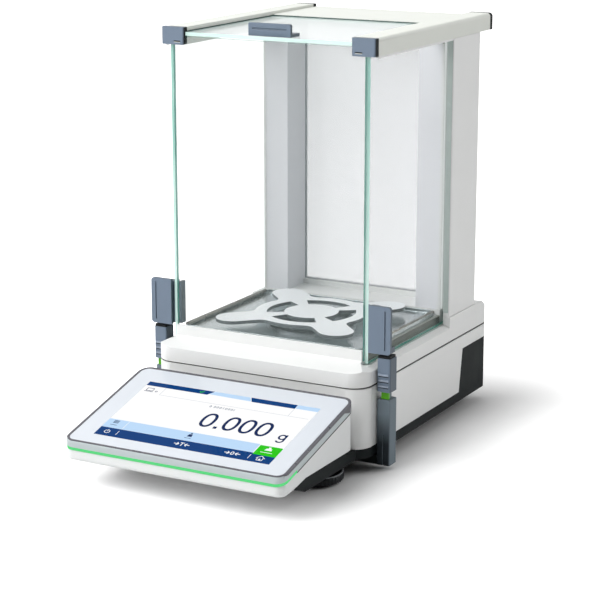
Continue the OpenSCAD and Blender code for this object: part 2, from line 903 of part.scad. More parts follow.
// Fixed white panel between the rails, over the back of the top door
module rear_top_panel() {
    color(white) at_doors()
        block([-rail_x0, top_panel_y0, top_panel_z], [rail_x0, rail_y1 + end_cap_t, top_panel_z + top_panel_t]);
}

// Beam between the rails that carries the rear pane's top edge
module rear_beam() {
    color(white) at_doors() difference() {
        block([-rail_x0, ridge_y0, rail_z], [rail_x0, ridge_y1 + beam_tail, top_glass_z0 - pane_gap]);
        block([-column_x0 - 2.6, rear_glass_y0 - 0.1, rail_z - 1],
              [column_x0 + 2.6, rear_glass_y0 + rear_glass_t + 0.1, rail_z + 2.1]);
    }
}

// Rear pane between the columns
module rear_glass() {
    color(glass, 0.4) at_doors()
        block([-column_x0 - 2.4, rear_glass_y0, ridge_z - 2],
              [column_x0 + 2.4, rear_glass_y0 + rear_glass_t, rail_z + 2]);
}

// Front pane in the slot behind the front step
module front_glass() {
    color(glass, 0.4) at_doors()
        block([-front_glass_x, front_glass_y0, deck_z - 4.4],
              [front_glass_x, front_glass_y1, front_glass_top]);
}

// Side doors

// The two screws that clamp a handle through its pane
module clamp_screws(r) {
    for (z = [handle_z + 8, handle_z + handle_h - 8])
        translate([clamp_x0 + 0.5, clamp_y, z]) rotate([0, 90, 0])
            cylinder(r = r, h = handle_x0 - clamp_x0);
}

// Pane of a side door, drilled for the clamp of its handle
module door_glass() {
    color(glass, 0.4) at_doors() difference() {
        block([door_x0, 0, door_z], [door_x1, door_y1, door_top]);
        clamp_screws(clamp_screw_r + 0.2);
    }
}

// Handle plate with the clamp on the pane and the lug for the coupler's pin
module door_handle() {
    z1 = handle_z + handle_h;
    corner = 2.5;
    color(slate) at_doors() difference() {
        union() {
            along(handle_y0, handle_y0 + handle_t) {
                translate([handle_x0, handle_z]) square([handle_w - corner, handle_h]);
                translate([handle_x0, handle_z + corner]) square([handle_w, handle_h - 2 * corner]);
                for (z = [handle_z + corner, z1 - corner])
                    translate([handle_x1 - corner, z]) circle(corner);
            }
            block([handle_x0, handle_y0 + handle_t - eps, handle_z + 1],
                  [handle_x0 + 4.6, clamp_y1, z1 - clamp_drop]);
            block([door_x1, 1, handle_z + 1], [handle_x0 + eps, clamp_y1, z1 - clamp_drop]);
            block([dog_x - lug_w / 2, handle_y0 + handle_t - eps, handle_z],
                  [dog_x + lug_w / 2, dog_y + 4, lug_top]);
            block([handle_x0, dog_y - 4, handle_z + 1], [dog_x, dog_y + 4, lug_top]);
            block([clamp_x0, 1 + seat_gap, handle_z + 1], [door_x0, clamp_y1, z1 - clamp_drop]);
            clamp_screws(clamp_screw_r);
        }
        translate([dog_x, dog_y, handle_z - 1]) cylinder(d = dog_d + 0.5, h = lug_top - handle_z - 0.6);
        block([handle_x1 - 5.2, handle_y0 - 1, handle_z + 3.4], [handle_x1 - 4, handle_y0 + 0.9, z1 - 3.4]);
    }
}

// Glides under the two ends of a side door
module door_glides() {
    color("#e8e8e2") at_doors() for (y = [15, door_y1 - 25])
        block([door_x0 + 0.3, y, track_z + seat_gap], [door_x1 - 0.3, y + 10, door_z]);
}

module left_door_glass() {
    on_side(-1) door_glass();
}

module right_door_glass() {
    on_side(1) door_glass();
}

module left_door_handle() {
    on_side(-1) door_handle();
}

module right_door_handle() {
    on_side(1) door_handle();
}

module left_door_glides() {
    on_side(-1) door_glides();
}

module right_door_glides() {
    on_side(1) door_glides();
}

// Top door

// Pane of the top door, with its front corners notched behind the caps
module top_door_glass() {
    x1 = rail_x0 + groove_d - pane_gap;
    color(glass, 0.4) at_doors() translate([0, 0, top_glass_z0]) linear_extrude(top_glass_t) {
        translate([-x1, cap_back + seat_gap])
            square([2 * x1, top_door_y1 - cap_back - seat_gap]);
        translate([-rail_x0 + seat_gap, top_door_y0])
            square([2 * (rail_x0 - seat_gap), top_door_y1 - top_door_y0 - 1]);
    }
}

// Angle handle on the front edge of the top door
module top_door_handle() {
    x = top_handle_w / 2;
    y0 = 2;
    z1 = top_glass_z1 + top_handle_h;
    corner = 1.5;
    color(slate) at_doors() difference() {
        union() {
            along(y0, y0 + handle_t) {
                translate([-x, top_glass_z1]) square([2 * x, top_handle_h - corner]);
                translate([-x + corner, top_glass_z1]) square([2 * (x - corner), top_handle_h]);
                for (s = [-1, 1]) translate([s * (x - corner), z1 - corner]) circle(corner);
            }
            block([-x, y0 + handle_t - eps, top_glass_z1], [x, y0 + top_handle_d, top_glass_z1 + 2.4]);
        }
        block([-x + 4, y0 - 1, z1 - 5.2], [x - 4, y0 + 0.8, z1 - 4]);
    }
}

// Door yoke

// Bar under the base that joins both levers, bored for the guide rods
module yoke_crossbar() {
    color(dark) at_doors() difference() {
        block([-lever_x0, lever_y0 + 0.5, lever_z], [lever_x0, lever_y0 + lever_d - 0.5, yoke_top]);
        for (s = [-1, 1]) translate([s * rod_x, -far / 2, rod_z]) rotate([-90, 0, 0])
            cylinder(r = rod_d / 2 + fit, h = far);
    }
}

// Lever beside the base, with the post that guides its coupler
module lever() {
    color("#5d6875") at_doors() {
        difference() {
            translate([0, 0, lever_z]) linear_extrude(lever_top - lever_z) {
                translate([lever_x0, lever_y0 + 1.5]) square([lever_w, lever_d - 1.5]);
                translate([lever_x0 + 1, lever_y0]) square([lever_w - 2.5, 3]);
                translate([lever_x1 - 1.5, lever_y0 + 1.5]) circle(1.5);
                translate([lever_x0 + 1, lever_y0 + 1]) circle(1);
                translate([lever_x0, lever_y0 + 1]) square([2, 2]);
            }
            block([dog_x - 0.5, lever_y0 - 1, lever_z - 1], [dog_x + 0.5, lever_y0 + 0.7, lever_z + 26]);
        }
        block([dog_x - post_w / 2, post_y0, lever_top - eps],
              [dog_x + post_w / 2, post_y0 + post_d, post_top]);
    }
}

module left_lever() {
    on_side(-1) lever();
}

module right_lever() {
    on_side(1) lever();
}

// Green flags that show when a coupler is up
module lever_flags() {
    color("#4aa80c") at_doors() for (s = [-1, 1]) on_side(s)
        block([flag_x0, flag_y, lever_top], [flag_x1, post_y0, coupler_z]);
}

// Sliding coupler with three ribs and the pin that enters the door's handle
module coupler() {
    corner = 1.6;
    rib = 1.6;
    rib_pitch = 4.6;
    x0 = lever_x0 + 0.1;
    x1 = lever_x1 + 0.5;
    color(slate) at_doors() difference() {
        union() {
            translate([0, 0, coupler_z]) linear_extrude(coupler_h) {
                translate([x0, coupler_y0 + corner])
                    square([x1 - x0, coupler_y1 - coupler_y0 - corner]);
                translate([x0 + corner, coupler_y0]) square([x1 - x0 - 2 * corner, 3]);
                for (x = [x0 + corner, x1 - corner]) translate([x, coupler_y0 + corner]) circle(corner);
            }
            for (k = [0:2])
                block([x0 + rib, coupler_y0 - 1, coupler_z + 4 + rib_pitch * k],
                      [x1 - rib, coupler_y0 + 1, coupler_z + 4 + rib + rib_pitch * k]);
            translate([dog_x, dog_y, coupler_top - eps]) cylinder(d = dog_d, h = dog_top - coupler_top);
        }
        block([dog_x - post_w / 2 - seat_gap, post_y0 - seat_gap, coupler_z - 1],
              [dog_x + post_w / 2 + seat_gap, post_y0 + post_d + seat_gap, post_top + coupler_travel + 0.4]);
        block([flag_x0 - seat_gap, flag_y - seat_gap, coupler_z - 1],
              [flag_x1 + seat_gap, post_y0 + seat_gap, coupler_z + coupler_travel + 0.4]);
    }
}

module left_coupler() {
    on_side(-1) coupler();
}

module right_coupler() {
    on_side(1) coupler();
}

// Rods under the base that the yoke runs on
module guide_rods() {
    color(steel) at_doors() for (s = [-1, 1])
        translate([s * rod_x, hanger_front_y, rod_z]) rotate([-90, 0, 0])
            cylinder(d = rod_d, h = hanger_back_y + hanger_l - hanger_front_y);
}

// Hangers that hold the rods under the plinth
module rod_hangers() {
    color(dark) at_doors() for (s = [-1, 1]) for (y = [hanger_front_y, hanger_back_y])
        difference() {
            block([s * rod_x - 5, y, lever_z + 0.6], [s * rod_x + 5, y + hanger_l, plinth_z]);
            translate([s * rod_x, y - 1, rod_z]) rotate([-90, 0, 0]) cylinder(d = rod_d, h = hanger_l + 2);
        }
}

// Pan and tray

// Outline of the pan without its slots, with hollow fillets beside the arms
module pan_outline() {
    fillet = 9;
    offset(r = -fillet, $fn = 48) offset(r = fillet, $fn = 48) {
        circle(pan_ring_r);
        for (a = [45:90:315]) rotate(a) {
            translate([0, -pan_arm_w / 2]) square([pan_reach - pan_arm_w / 2, pan_arm_w]);
            translate([pan_reach - pan_arm_w / 2, 0]) circle(d = pan_arm_w);
        }
    }
}

// One curved slot of the pan
module pan_slot() {
    reach = 2 * slot_outer_r;
    intersection() {
        difference() {
            circle(slot_outer_r);
            circle(slot_inner_r);
        }
        polygon([
            [0, 0],
            [reach * cos(slot_angle), -reach * sin(slot_angle)],
            [reach, 0],
            [reach * cos(slot_angle), reach * sin(slot_angle)]
        ]);
    }
}

// Weighing pan with four arms and four curved slots
module weighing_pan() {
    color(steel) at_doors() translate([0, pan_y, deck_z + pan_rise - pan_t]) linear_extrude(pan_t)
        difference() {
            pan_outline();
            for (a = [0:90:270]) rotate(a) pan_slot();
        }
}

// Carrier under the pan: hub, spokes, and a ring of pegs below the slots
module pan_carrier() {
    top = deck_z + pan_rise - pan_t;
    ring_r = (slot_inner_r + slot_outer_r) / 2 + 2.75;
    color("#6a7074") at_doors() translate([0, pan_y, 0]) difference() {
        union() {
            translate([0, 0, deck_z - 1.4]) cylinder(r = spigot_r + 5, h = top - deck_z + 1.4);
            translate([0, 0, top - 2.8]) cylinder(r = slot_inner_r - 3, h = 2.8);
            for (a = [45:90:315]) rotate(a)
                block([0, -5, top - 2.8], [ring_r, 5, top]);
            translate([0, 0, top - 3.8]) difference() {
                cylinder(r = ring_r + 2.5, h = 1.4);
                translate([0, 0, -1]) cylinder(r = ring_r - 2.5, h = 4);
            }
            for (a = [0:90:270]) for (da = [-26, 26]) rotate(a + da)
                translate([ring_r, 0, top - 3]) cylinder(d = 3, h = 2.6);
        }
        translate([0, 0, -1]) cylinder(r = spigot_r + fit, h = top - 1.8 + 1);
    }
}

// Stainless tray on the deck, with a raised rim and a collar round the spigot
module drip_tray() {
    collar_r = spigot_r + 10;
    color("#aeb4b7") at_doors() translate([0, 0, deck_z + seat_gap]) difference() {
        linear_extrude(tray_rim_h) outline(tray_x, tray_y0, tray_y1, tray_r, tray_r);
        difference() {
            translate([0, 0, sheet_t]) linear_extrude(tray_rim_h)
                outline(tray_x - sheet_t, tray_y0 + sheet_t, tray_y1 - sheet_t,
                        tray_r - sheet_t, tray_r - sheet_t);
            translate([0, pan_y, 0]) cylinder(r = collar_r + 1.2, h = sheet_t + 1.4);
        }
        translate([0, pan_y, -1]) cylinder(r = collar_r, h = far);
    }
}

// Terminal

// The outline of the terminal, drawn in by an inset
module terminal_plan(inset) {
    outline(terminal_w / 2 - inset, -terminal_reach + inset, -terminal_back - inset,
            max(terminal_r - inset, 1), max(terminal_back_r - inset, 1));
}

// Moves a shape drawn on the screen's plane into the model; its origin is on the front edge
module on_screen() {
    translate([0, -terminal_reach, screen_front_z]) rotate([screen_tilt, 0, 0]) children();
}

// The room between two planes that lie along the screen
module screen_layer(w0, w1) {
    on_screen() block([-far / 2, -far / 2, w0], [far / 2, far / 2, w1]);
}

// A piece of the terminal's outline between two planes along the screen
module terminal_layer(inset, w0, w1) {
    intersection() {
        linear_extrude(far / 4) terminal_plan(inset);
        screen_layer(w0, w1);
    }
}

// What lies above the slanted joint between the silver frame and the dark rim
module above_rim_joint() {
    on_screen() translate([0, 0, -rim_front_d]) rotate([-rim_taper, 0, 0])
        block([-far / 2, -far / 2, 0], [far / 2, far / 2, far / 2]);
}

// White lower case of the terminal, with a chin at its front
module terminal_case() {
    foot = 2;
    color(white) at_doors() difference() {
        intersection() {
            hull() {
                translate([0, 0, chin_z]) linear_extrude(0.5) terminal_plan(foot, $fn = 32);
                translate([0, 0, chin_z + foot]) linear_extrude(far / 6) terminal_plan(rim_lip, $fn = 32);
            }
            screen_layer(-far / 2, case_top);
        }
        translate([0, 0, neck_top + wall]) linear_extrude(far / 4) terminal_plan(2 * foot + wall);
        across(-far / 2, far / 2, [
            [chin_y, -1],
            [chin_y, chin_z],
            [chin_y + chin_slope, neck_top],
            [far, neck_top],
            [far, -1]
        ]);
    }
}

// Silver frame between the rim and the light line, with the seat of the touch glass
module terminal_frame() {
    color("#b9bdbd") at_doors() difference() {
        union() {
            difference() {
                terminal_layer(0, frame_z, 0);
                terminal_layer(ring_inset, -touch_glass_t, 1);
                difference() {
                    above_rim_joint();
                    linear_extrude(far) terminal_plan(ring_inset);
                }
            }
            intersection() {
                terminal_layer(0, case_top + 0.25, frame_z + eps);
                block([-far, light_back_y, 0], [far, far, far]);
            }
        }
        linear_extrude(far) terminal_plan(frame_inset);
    }
}

// Light line round the front of the terminal
module light_guide() {
    color("#4be57a") at_doors() intersection() {
        difference() {
            terminal_layer(0, case_top, frame_z);
            linear_extrude(far) terminal_plan(light_inset);
        }
        block([-far, -far, 0], [far, light_back_y, far]);
    }
}

// Dark rim round the touch glass, deeper towards the back
module terminal_rim() {
    color("#5a5d63") at_doors() intersection() {
        difference() {
            terminal_layer(rim_lip, -rim_back_d - 1, rim_rise);
            linear_extrude(far) terminal_plan(ring_inset);
        }
        above_rim_joint();
    }
}

// Touch glass over the display
module touch_glass() {
    color("#e0e4ea") at_doors() terminal_layer(bezel_inset, -touch_glass_t, 0);
}

// Display under the touch glass
module display_module() {
    color("#20262c") at_doors() on_screen()
        block([-display_x, display_v0, -touch_glass_t - display_t],
              [display_x, display_v1, -touch_glass_t]);
}

// Circuit board of the terminal, on spacers behind the display
module terminal_board() {
    spacer_h = 4.5;
    w0 = -touch_glass_t - display_t - spacer_h;
    v0 = display_v0 + 8;
    v1 = display_v1 - 13;
    x1 = display_x - 14;
    color("#2c6b45") at_doors() on_screen() {
        block([-x1, v0, w0], [x1, v1, w0 + board_t]);
        for (x = [8 - x1, x1 - 8]) for (v = [v0 + 8, v1 - 8])
            translate([x, v, w0]) cylinder(r = 3, h = spacer_h);
    }
}

base_tray();
lower_housing();
upper_housing();
rear_ports();
main_board();
housing_screws();
rear_feet();
guide_rods();
rod_hangers();
cell_plate();
load_cell();
load_lever();
magnet_pot();
force_coil();
pan_spigot();
calibration_weight();
calibration_motor();
left_column();
right_column();
left_column_cover();
right_column_cover();
left_rail();
right_rail();
left_front_cap();
right_front_cap();
rail_end_caps();
rear_top_panel();
rear_beam();
rear_glass();
front_glass();
terminal_case();
terminal_frame();
terminal_rim();
touch_glass();
display_module();
terminal_board();
light_guide();
left_door_glass();
left_door_handle();
left_door_glides();
right_door_glass();
right_door_handle();
right_door_glides();
top_door_glass();
top_door_handle();
yoke_crossbar();
left_lever();
right_lever();
lever_flags();
left_coupler();
right_coupler();
weighing_pan();
pan_carrier();
drip_tray();
left_foot_screw();
left_foot_wheel();
right_foot_screw();
right_foot_wheel();
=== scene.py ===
"""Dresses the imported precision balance: finishes, small hardware, screen and studio."""

import logging
import math
from dataclasses import dataclass, field, replace
from enum import Enum
from typing import ClassVar, Sequence

import bmesh
import bpy
from mathutils import Matrix, Vector


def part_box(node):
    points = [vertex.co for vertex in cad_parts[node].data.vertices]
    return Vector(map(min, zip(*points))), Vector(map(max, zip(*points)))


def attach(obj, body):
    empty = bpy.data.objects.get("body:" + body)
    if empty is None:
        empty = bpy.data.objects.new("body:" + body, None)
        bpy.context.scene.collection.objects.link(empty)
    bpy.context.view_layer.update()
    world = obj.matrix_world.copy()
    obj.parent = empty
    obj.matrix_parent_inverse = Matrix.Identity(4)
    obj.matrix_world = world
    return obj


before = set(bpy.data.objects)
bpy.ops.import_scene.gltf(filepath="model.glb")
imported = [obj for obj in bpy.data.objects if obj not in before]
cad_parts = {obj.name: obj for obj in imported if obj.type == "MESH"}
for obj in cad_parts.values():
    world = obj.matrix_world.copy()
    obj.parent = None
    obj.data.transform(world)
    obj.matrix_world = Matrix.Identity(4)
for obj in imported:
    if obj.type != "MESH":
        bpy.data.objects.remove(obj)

LOG = logging.getLogger("balance")
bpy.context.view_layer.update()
MM = 0.001
Triple = tuple[float, float, float]
Colour = Triple
Point = tuple[float, float]


def srgb(red: int, green: int, blue: int) -> Colour:
    """Turns screen values from 0 to 255 into a linear colour.

    Args:
        red: Screen red.
        green: Screen green.
        blue: Screen blue.

    Returns:
        The linear colour.
    """
    def linear(value: int) -> float:
        """Undoes the screen curve of one channel."""
        share = value / 255
        return share / 12.92 if share <= 0.04045 else ((share + 0.055) / 1.055) ** 2.4

    return linear(red), linear(green), linear(blue)


def scaled(colour: Colour, factor: float) -> Colour:
    """Makes a colour darker or lighter by one factor."""
    return tuple(min(1.0, channel * factor) for channel in colour)


class Side(Enum):
    """The two sides of the balance, as seen from its front."""

    LEFT = -1
    RIGHT = 1

    @property
    def word(self) -> str:
        """The side's name in node names."""
        return self.name.lower()

    def reach(self, node: str) -> Point:
        """Gives how far from the middle a node on this side starts and ends, in millimetres."""
        low, high = span(node)
        return (low.x, high.x) if self is Side.RIGHT else (-high.x, -low.x)

    def ends(self, *distances: float) -> list[float]:
        """Puts distances from the middle on this side, in rising order."""
        return sorted(distance * self.value for distance in distances)


class Across(Enum):
    """A direction across a pane, or none."""

    X = (1.0, 0.0, 0.0)
    Y = (0.0, 1.0, 0.0)
    Z = (0.0, 0.0, 1.0)
    NONE = (0.0, 0.0, 0.0)


class Wiring:
    """Short ways to build one shader node tree."""

    def __init__(self, tree: bpy.types.NodeTree) -> None:
        """Takes the tree that the nodes go into."""
        self.tree = tree

    def add(self, kind: str, **settings: object) -> bpy.types.Node:
        """Adds a node.

        Args:
            kind: The node's type without its ShaderNode prefix, or a full type name.
            settings: Attributes to set on the node.

        Returns:
            The new node.
        """
        full = kind if kind.startswith("Node") else "ShaderNode" + kind
        node = self.tree.nodes.new(full)
        for key, value in settings.items():
            setattr(node, key, value)
        return node

    def put(self, target: bpy.types.NodeSocket, value: object) -> None:
        """Links a socket, or sets its plain value.

        Args:
            target: The input socket.
            value: A socket, a number, a colour or a vector.
        """
        if isinstance(value, bpy.types.NodeSocket):
            self.tree.links.new(value, target)
        elif target.type == "RGBA":
            target.default_value = (*value[:3], 1.0)
        else:
            target.default_value = value

    def calc(self, operation: str, first: object, second: object = 0.0) -> bpy.types.NodeSocket:
        """Adds a Math node.

        Args:
            operation: The node's operation.
            first: First value or socket.
            second: Second value or socket.

        Returns:
            The result.
        """
        node = self.add("Math", operation=operation)
        self.put(node.inputs[0], first)
        self.put(node.inputs[1], second)
        return node.outputs[0]

    def blend(self, share: object, first: object, second: object) -> bpy.types.NodeSocket:
        """Mixes two colours.

        Args:
            share: Share of the second colour.
            first: First colour or socket.
            second: Second colour or socket.

        Returns:
            The mixed colour.
        """
        node = self.add("Mix", data_type="RGBA")
        self.put(node.inputs["Factor"], share)
        self.put(node.inputs[6], first)
        self.put(node.inputs[7], second)
        return node.outputs[2]

    def spread(self, value: object, low: object, high: object, to_low: object = 0.0,
               to_high: object = 1.0) -> bpy.types.NodeSocket:
        """Maps a range of values onto another, clamped.

        Args:
            value: The value or socket.
            low: Start of the range.
            high: End of the range.
            to_low: Result at the start.
            to_high: Result at the end.

        Returns:
            The mapped value.
        """
        node = self.add("MapRange")
        names = ("Value", "From Min", "From Max", "To Min", "To Max")
        for name, number in zip(names, (value, low, high, to_low, to_high)):
            self.put(node.inputs[name], number)
        return node.outputs["Result"]

    def vector(self, operation: str, first: object, second: object = (0.0, 0.0, 0.0)) -> bpy.types.Node:
        """Adds a Vector Math node.

        Args:
            operation: The node's operation.
            first: First vector or socket.
            second: Second vector or socket.

        Returns:
            The node.
        """
        node = self.add("VectorMath", operation=operation)
        self.put(node.inputs[0], first)
        self.put(node.inputs[1], second)
        return node

    def dot(self, first: object, second: object) -> bpy.types.NodeSocket:
        """Gives how far two directions agree."""
        return self.vector("DOT_PRODUCT", first, second).outputs["Value"]

    def axis(self, vector: object, letter: str) -> bpy.types.NodeSocket:
        """Gives one of the three values of a vector.

        Args:
            vector: The vector's socket.
            letter: X, Y or Z.

        Returns:
            The value.
        """
        split = self.add("SeparateXYZ")
        self.put(split.inputs[0], vector)
        return split.outputs[letter]

    def normal(self) -> bpy.types.NodeSocket:
        """Gives the direction that the surface faces."""
        return self.add("NewGeometry").outputs["Normal"]

    def place(self) -> bpy.types.NodeSocket:
        """Gives the place on the object, in metres."""
        return self.add("TexCoord").outputs["Object"]

    def noise(self, scale: object, where: object = None, detail: float = 2.0) -> bpy.types.NodeSocket:
        """Adds a noise texture.

        Args:
            scale: Scale value or socket.
            where: Place to read it at; the place on the object if left out.
            detail: Octaves.

        Returns:
            The noise value.
        """
        node = self.add("TexNoise")
        self.put(node.inputs["Vector"], self.place() if where is None else where)
        self.put(node.inputs["Scale"], scale)
        self.put(node.inputs["Detail"], detail)
        return node.outputs[0]


class Effect:
    """A shader node group that is built once and placed in several finishes."""

    name = "effect"
    inputs: tuple[tuple[str, str, object], ...] = ()
    outputs: tuple[tuple[str, str], ...] = ()

    def wire(self, wiring: Wiring, given: bpy.types.Node, out: bpy.types.Node) -> None:
        """Fills the group's tree."""
        raise NotImplementedError

    def tree(self) -> bpy.types.NodeTree:
        """Gives the group's tree, and builds it the first time.

        Returns:
            The node tree.
        """
        known = bpy.data.node_groups.get(self.name)
        if known:
            return known
        made = bpy.data.node_groups.new(self.name, "ShaderNodeTree")
        for label, kind, value in self.inputs:
            socket = made.interface.new_socket(label, in_out="INPUT", socket_type=kind)
            socket.default_value = value
        for label, kind in self.outputs:
            made.interface.new_socket(label, in_out="OUTPUT", socket_type=kind)
        wiring = Wiring(made)
        self.wire(wiring, wiring.add("NodeGroupInput"), wiring.add("NodeGroupOutput"))
        return made

    def place(self, wiring: Wiring, **values: object) -> bpy.types.Node:
        """Places the group in a material.

        Args:
            wiring: The material's wiring.
            values: Values of the inputs, with spaces in their names as underscores.

        Returns:
            The group node.
        """
        node = wiring.add("Group", node_tree=self.tree())
        for key, value in values.items():
            wiring.put(node.inputs[key.replace("_", " ")], value)
        return node


FLOAT = "NodeSocketFloat"
VECTOR = "NodeSocketVector"
NOISE_SPAN = (0.3, 0.7)


class MouldedGrain(Effect):
    """Fine pebbled skin of moulded plastic or sprayed paint, with a slow drift of tone."""

    name = "moulded_grain"
    inputs = (("Scale", FLOAT, 2500.0),)
    outputs = (("Height", FLOAT), ("Tone", FLOAT))
    drift_scale = 14.0
    drift_span = (0.35, 0.65)

    def wire(self, wiring: Wiring, given: bpy.types.Node, out: bpy.types.Node) -> None:
        """Joins a fine noise for the height and a slow one for the tone."""
        wiring.put(out.inputs["Height"], wiring.noise(given.outputs["Scale"], detail=3.0))
        wiring.put(out.inputs["Tone"], wiring.spread(wiring.noise(self.drift_scale), *self.drift_span))


class EdgeWearAndHighlight(Effect):
    """Mask of the outer and inner edges, where handling polishes a surface, and where a strong lift paints
    edges lighter as highlights.
    """

    name = "edge_wear_and_highlight"
    inputs = (("Radius", FLOAT, 0.0006),)
    outputs = (("Mask", FLOAT),)
    flat_to_edge = (0.99, 0.80)
    patch_scale = 160.0
    patch_strength = (0.55, 1.0)

    def wire(self, wiring: Wiring, given: bpy.types.Node, out: bpy.types.Node) -> None:
        """Compares the rounded normal with the real one, broken up by noise.

        Args:
            wiring: The group's wiring.
            given: The group's input node.
            out: The group's output node.
        """
        soft = wiring.add("Bevel", samples=4)
        wiring.put(soft.inputs["Radius"], given.outputs["Radius"])
        edge = wiring.spread(wiring.dot(soft.outputs[0], wiring.normal()), *self.flat_to_edge)
        patchy = wiring.spread(wiring.noise(self.patch_scale), *NOISE_SPAN, *self.patch_strength)
        wiring.put(out.inputs["Mask"], wiring.calc("MULTIPLY", edge, patchy))


class BrushedLines(Effect):
    """Fine parallel lines of brushed or ground metal."""

    name = "brushed_lines"
    inputs = (("Stretch", VECTOR, (1.0, 1.0, 1.0)),)
    outputs = (("Height", FLOAT), ("Tone", FLOAT))

    def wire(self, wiring: Wiring, given: bpy.types.Node, out: bpy.types.Node) -> None:
        """Reads noise on a place that is stretched along the lines.

        Args:
            wiring: The group's wiring.
            given: The group's input node.
            out: The group's output node.
        """
        stretched = wiring.vector("MULTIPLY", wiring.place(), given.outputs["Stretch"])
        lines = wiring.noise(1.0, stretched.outputs[0], 3.0)
        wiring.put(out.inputs["Height"], lines)
        wiring.put(out.inputs["Tone"], wiring.spread(lines, *NOISE_SPAN))


class HandlingSmudge(Effect):
    """Slow clouds that a wiped or touched surface shows in its gloss."""

    name = "handling_smudge"
    inputs = (("Scale", FLOAT, 40.0),)
    outputs = (("Amount", FLOAT),)

    def wire(self, wiring: Wiring, given: bpy.types.Node, out: bpy.types.Node) -> None:
        """Uses one broad noise."""
        clouds = wiring.noise(given.outputs["Scale"], detail=4.0)
        wiring.put(out.inputs["Amount"], wiring.spread(clouds, *NOISE_SPAN))


class SettledDust(Effect):
    """Thin dust on what faces upwards."""

    name = "settled_dust"
    inputs = (("Scale", FLOAT, 900.0),)
    outputs = (("Mask", FLOAT),)
    slope_span = (0.4, 0.95)
    speck_span = (0.5, 0.75)

    def wire(self, wiring: Wiring, given: bpy.types.Node, out: bpy.types.Node) -> None:
        """Multiplies the upward slope by specks.

        Args:
            wiring: The group's wiring.
            given: The group's input node.
            out: The group's output node.
        """
        upward = wiring.spread(wiring.axis(wiring.normal(), "Z"), *self.slope_span)
        specks = wiring.spread(wiring.noise(given.outputs["Scale"]), *self.speck_span)
        wiring.put(out.inputs["Mask"], wiring.calc("MULTIPLY", upward, specks))


class PaneEdge(Effect):
    """Tells the narrow edges of a pane from its two large faces, and how deep their colour is; edges that
    face the bright direction are painted lighter, with a painted change of tone with height.
    """

    name = "pane_edge"
    inputs = (("Across", VECTOR, (0.0, 1.0, 0.0)), ("Bright", VECTOR, (0.0, 0.0, 0.0)), ("Top", FLOAT, 0.15))
    outputs = (("Mask", FLOAT), ("Depth", FLOAT))
    face_to_edge = (0.8, 0.5)
    dull_to_bright = (0.75, 0.95)
    heights = (0.12, 0.26)
    foot_depth = 0.15
    cloud_scale = 22.0
    cloud_strength = (0.75, 1.0)

    def wire(self, wiring: Wiring, given: bpy.types.Node, out: bpy.types.Node) -> None:
        """Compares the normal with the direction through the pane and that of its bright edges.

        Args:
            wiring: The group's wiring.
            given: The group's input node.
            out: The group's output node.
        """
        normal = wiring.normal()
        through, along = (wiring.calc("ABSOLUTE", wiring.dot(normal, given.outputs[way]))
                          for way in ("Across", "Bright"))
        wiring.put(out.inputs["Mask"], wiring.spread(through, *self.face_to_edge))
        cloud = wiring.spread(wiring.noise(self.cloud_scale), *NOISE_SPAN, *self.cloud_strength)
        height = wiring.axis(wiring.place(), "Z")
        bright = wiring.spread(height, *self.heights, self.foot_depth, given.outputs["Top"])
        depth = wiring.spread(along, *self.dull_to_bright, 1.0, bright)
        wiring.put(out.inputs["Depth"], wiring.calc("MULTIPLY", cloud, depth))


class SideShade(Effect):
    """Mask of painted shade on what faces away from a given direction."""

    name = "side_shade"
    inputs = (("Along", VECTOR, (0.0, 0.0, 1.0)),)
    outputs = (("Mask", FLOAT),)
    facing_to_turned = (0.85, 0.45)

    def wire(self, wiring: Wiring, given: bpy.types.Node, out: bpy.types.Node) -> None:
        """Grows as the normal turns away from the direction."""
        facing = wiring.calc("ABSOLUTE", wiring.dot(wiring.normal(), given.outputs["Along"]))
        wiring.put(out.inputs["Mask"], wiring.spread(facing, *self.facing_to_turned))


class PaintedFootShade(Effect):
    """Mask of painted shade that grows towards the foot of what faces the front."""

    name = "painted_foot_shade"
    inputs = (("Foot", FLOAT, 0.022), ("Top", FLOAT, 0.047))
    outputs = (("Mask", FLOAT),)
    side_to_front = (-0.5, -0.9)

    def wire(self, wiring: Wiring, given: bpy.types.Node, out: bpy.types.Node) -> None:
        """Multiplies the depth below the top by how far the normal points to the front.

        Args:
            wiring: The group's wiring.
            given: The group's input node.
            out: The group's output node.
        """
        height = wiring.axis(wiring.place(), "Z")
        fade = wiring.spread(height, given.outputs["Top"], given.outputs["Foot"])
        front = wiring.spread(wiring.axis(wiring.normal(), "Y"), *self.side_to_front)
        wiring.put(out.inputs["Mask"], wiring.calc("MULTIPLY", fade, front))


class PixelGrid(Effect):
    """Rows and columns of a display's dots."""

    name = "pixel_grid"
    inputs = (("Scale", FLOAT, 5200.0),)
    outputs = (("Dot", FLOAT),)

    def wire(self, wiring: Wiring, given: bpy.types.Node, out: bpy.types.Node) -> None:
        """Uses a fine checker on the place.

        Args:
            wiring: The group's wiring.
            given: The group's input node.
            out: The group's output node.
        """
        checker = wiring.add("TexChecker")
        wiring.put(checker.inputs["Vector"], wiring.place())
        wiring.put(checker.inputs["Scale"], given.outputs["Scale"])
        wiring.put(out.inputs["Dot"], checker.outputs["Fac"])


GRAIN = MouldedGrain()
WEAR_AND_HIGHLIGHT = EdgeWearAndHighlight()
LINES = BrushedLines()
SMUDGE = HandlingSmudge()
DUST = SettledDust()
PANE_EDGE = PaneEdge()
PIXELS = PixelGrid()
PAINTED_FOOT_SHADE = PaintedFootShade()
PAINTED_SIDE_SHADE = SideShade()


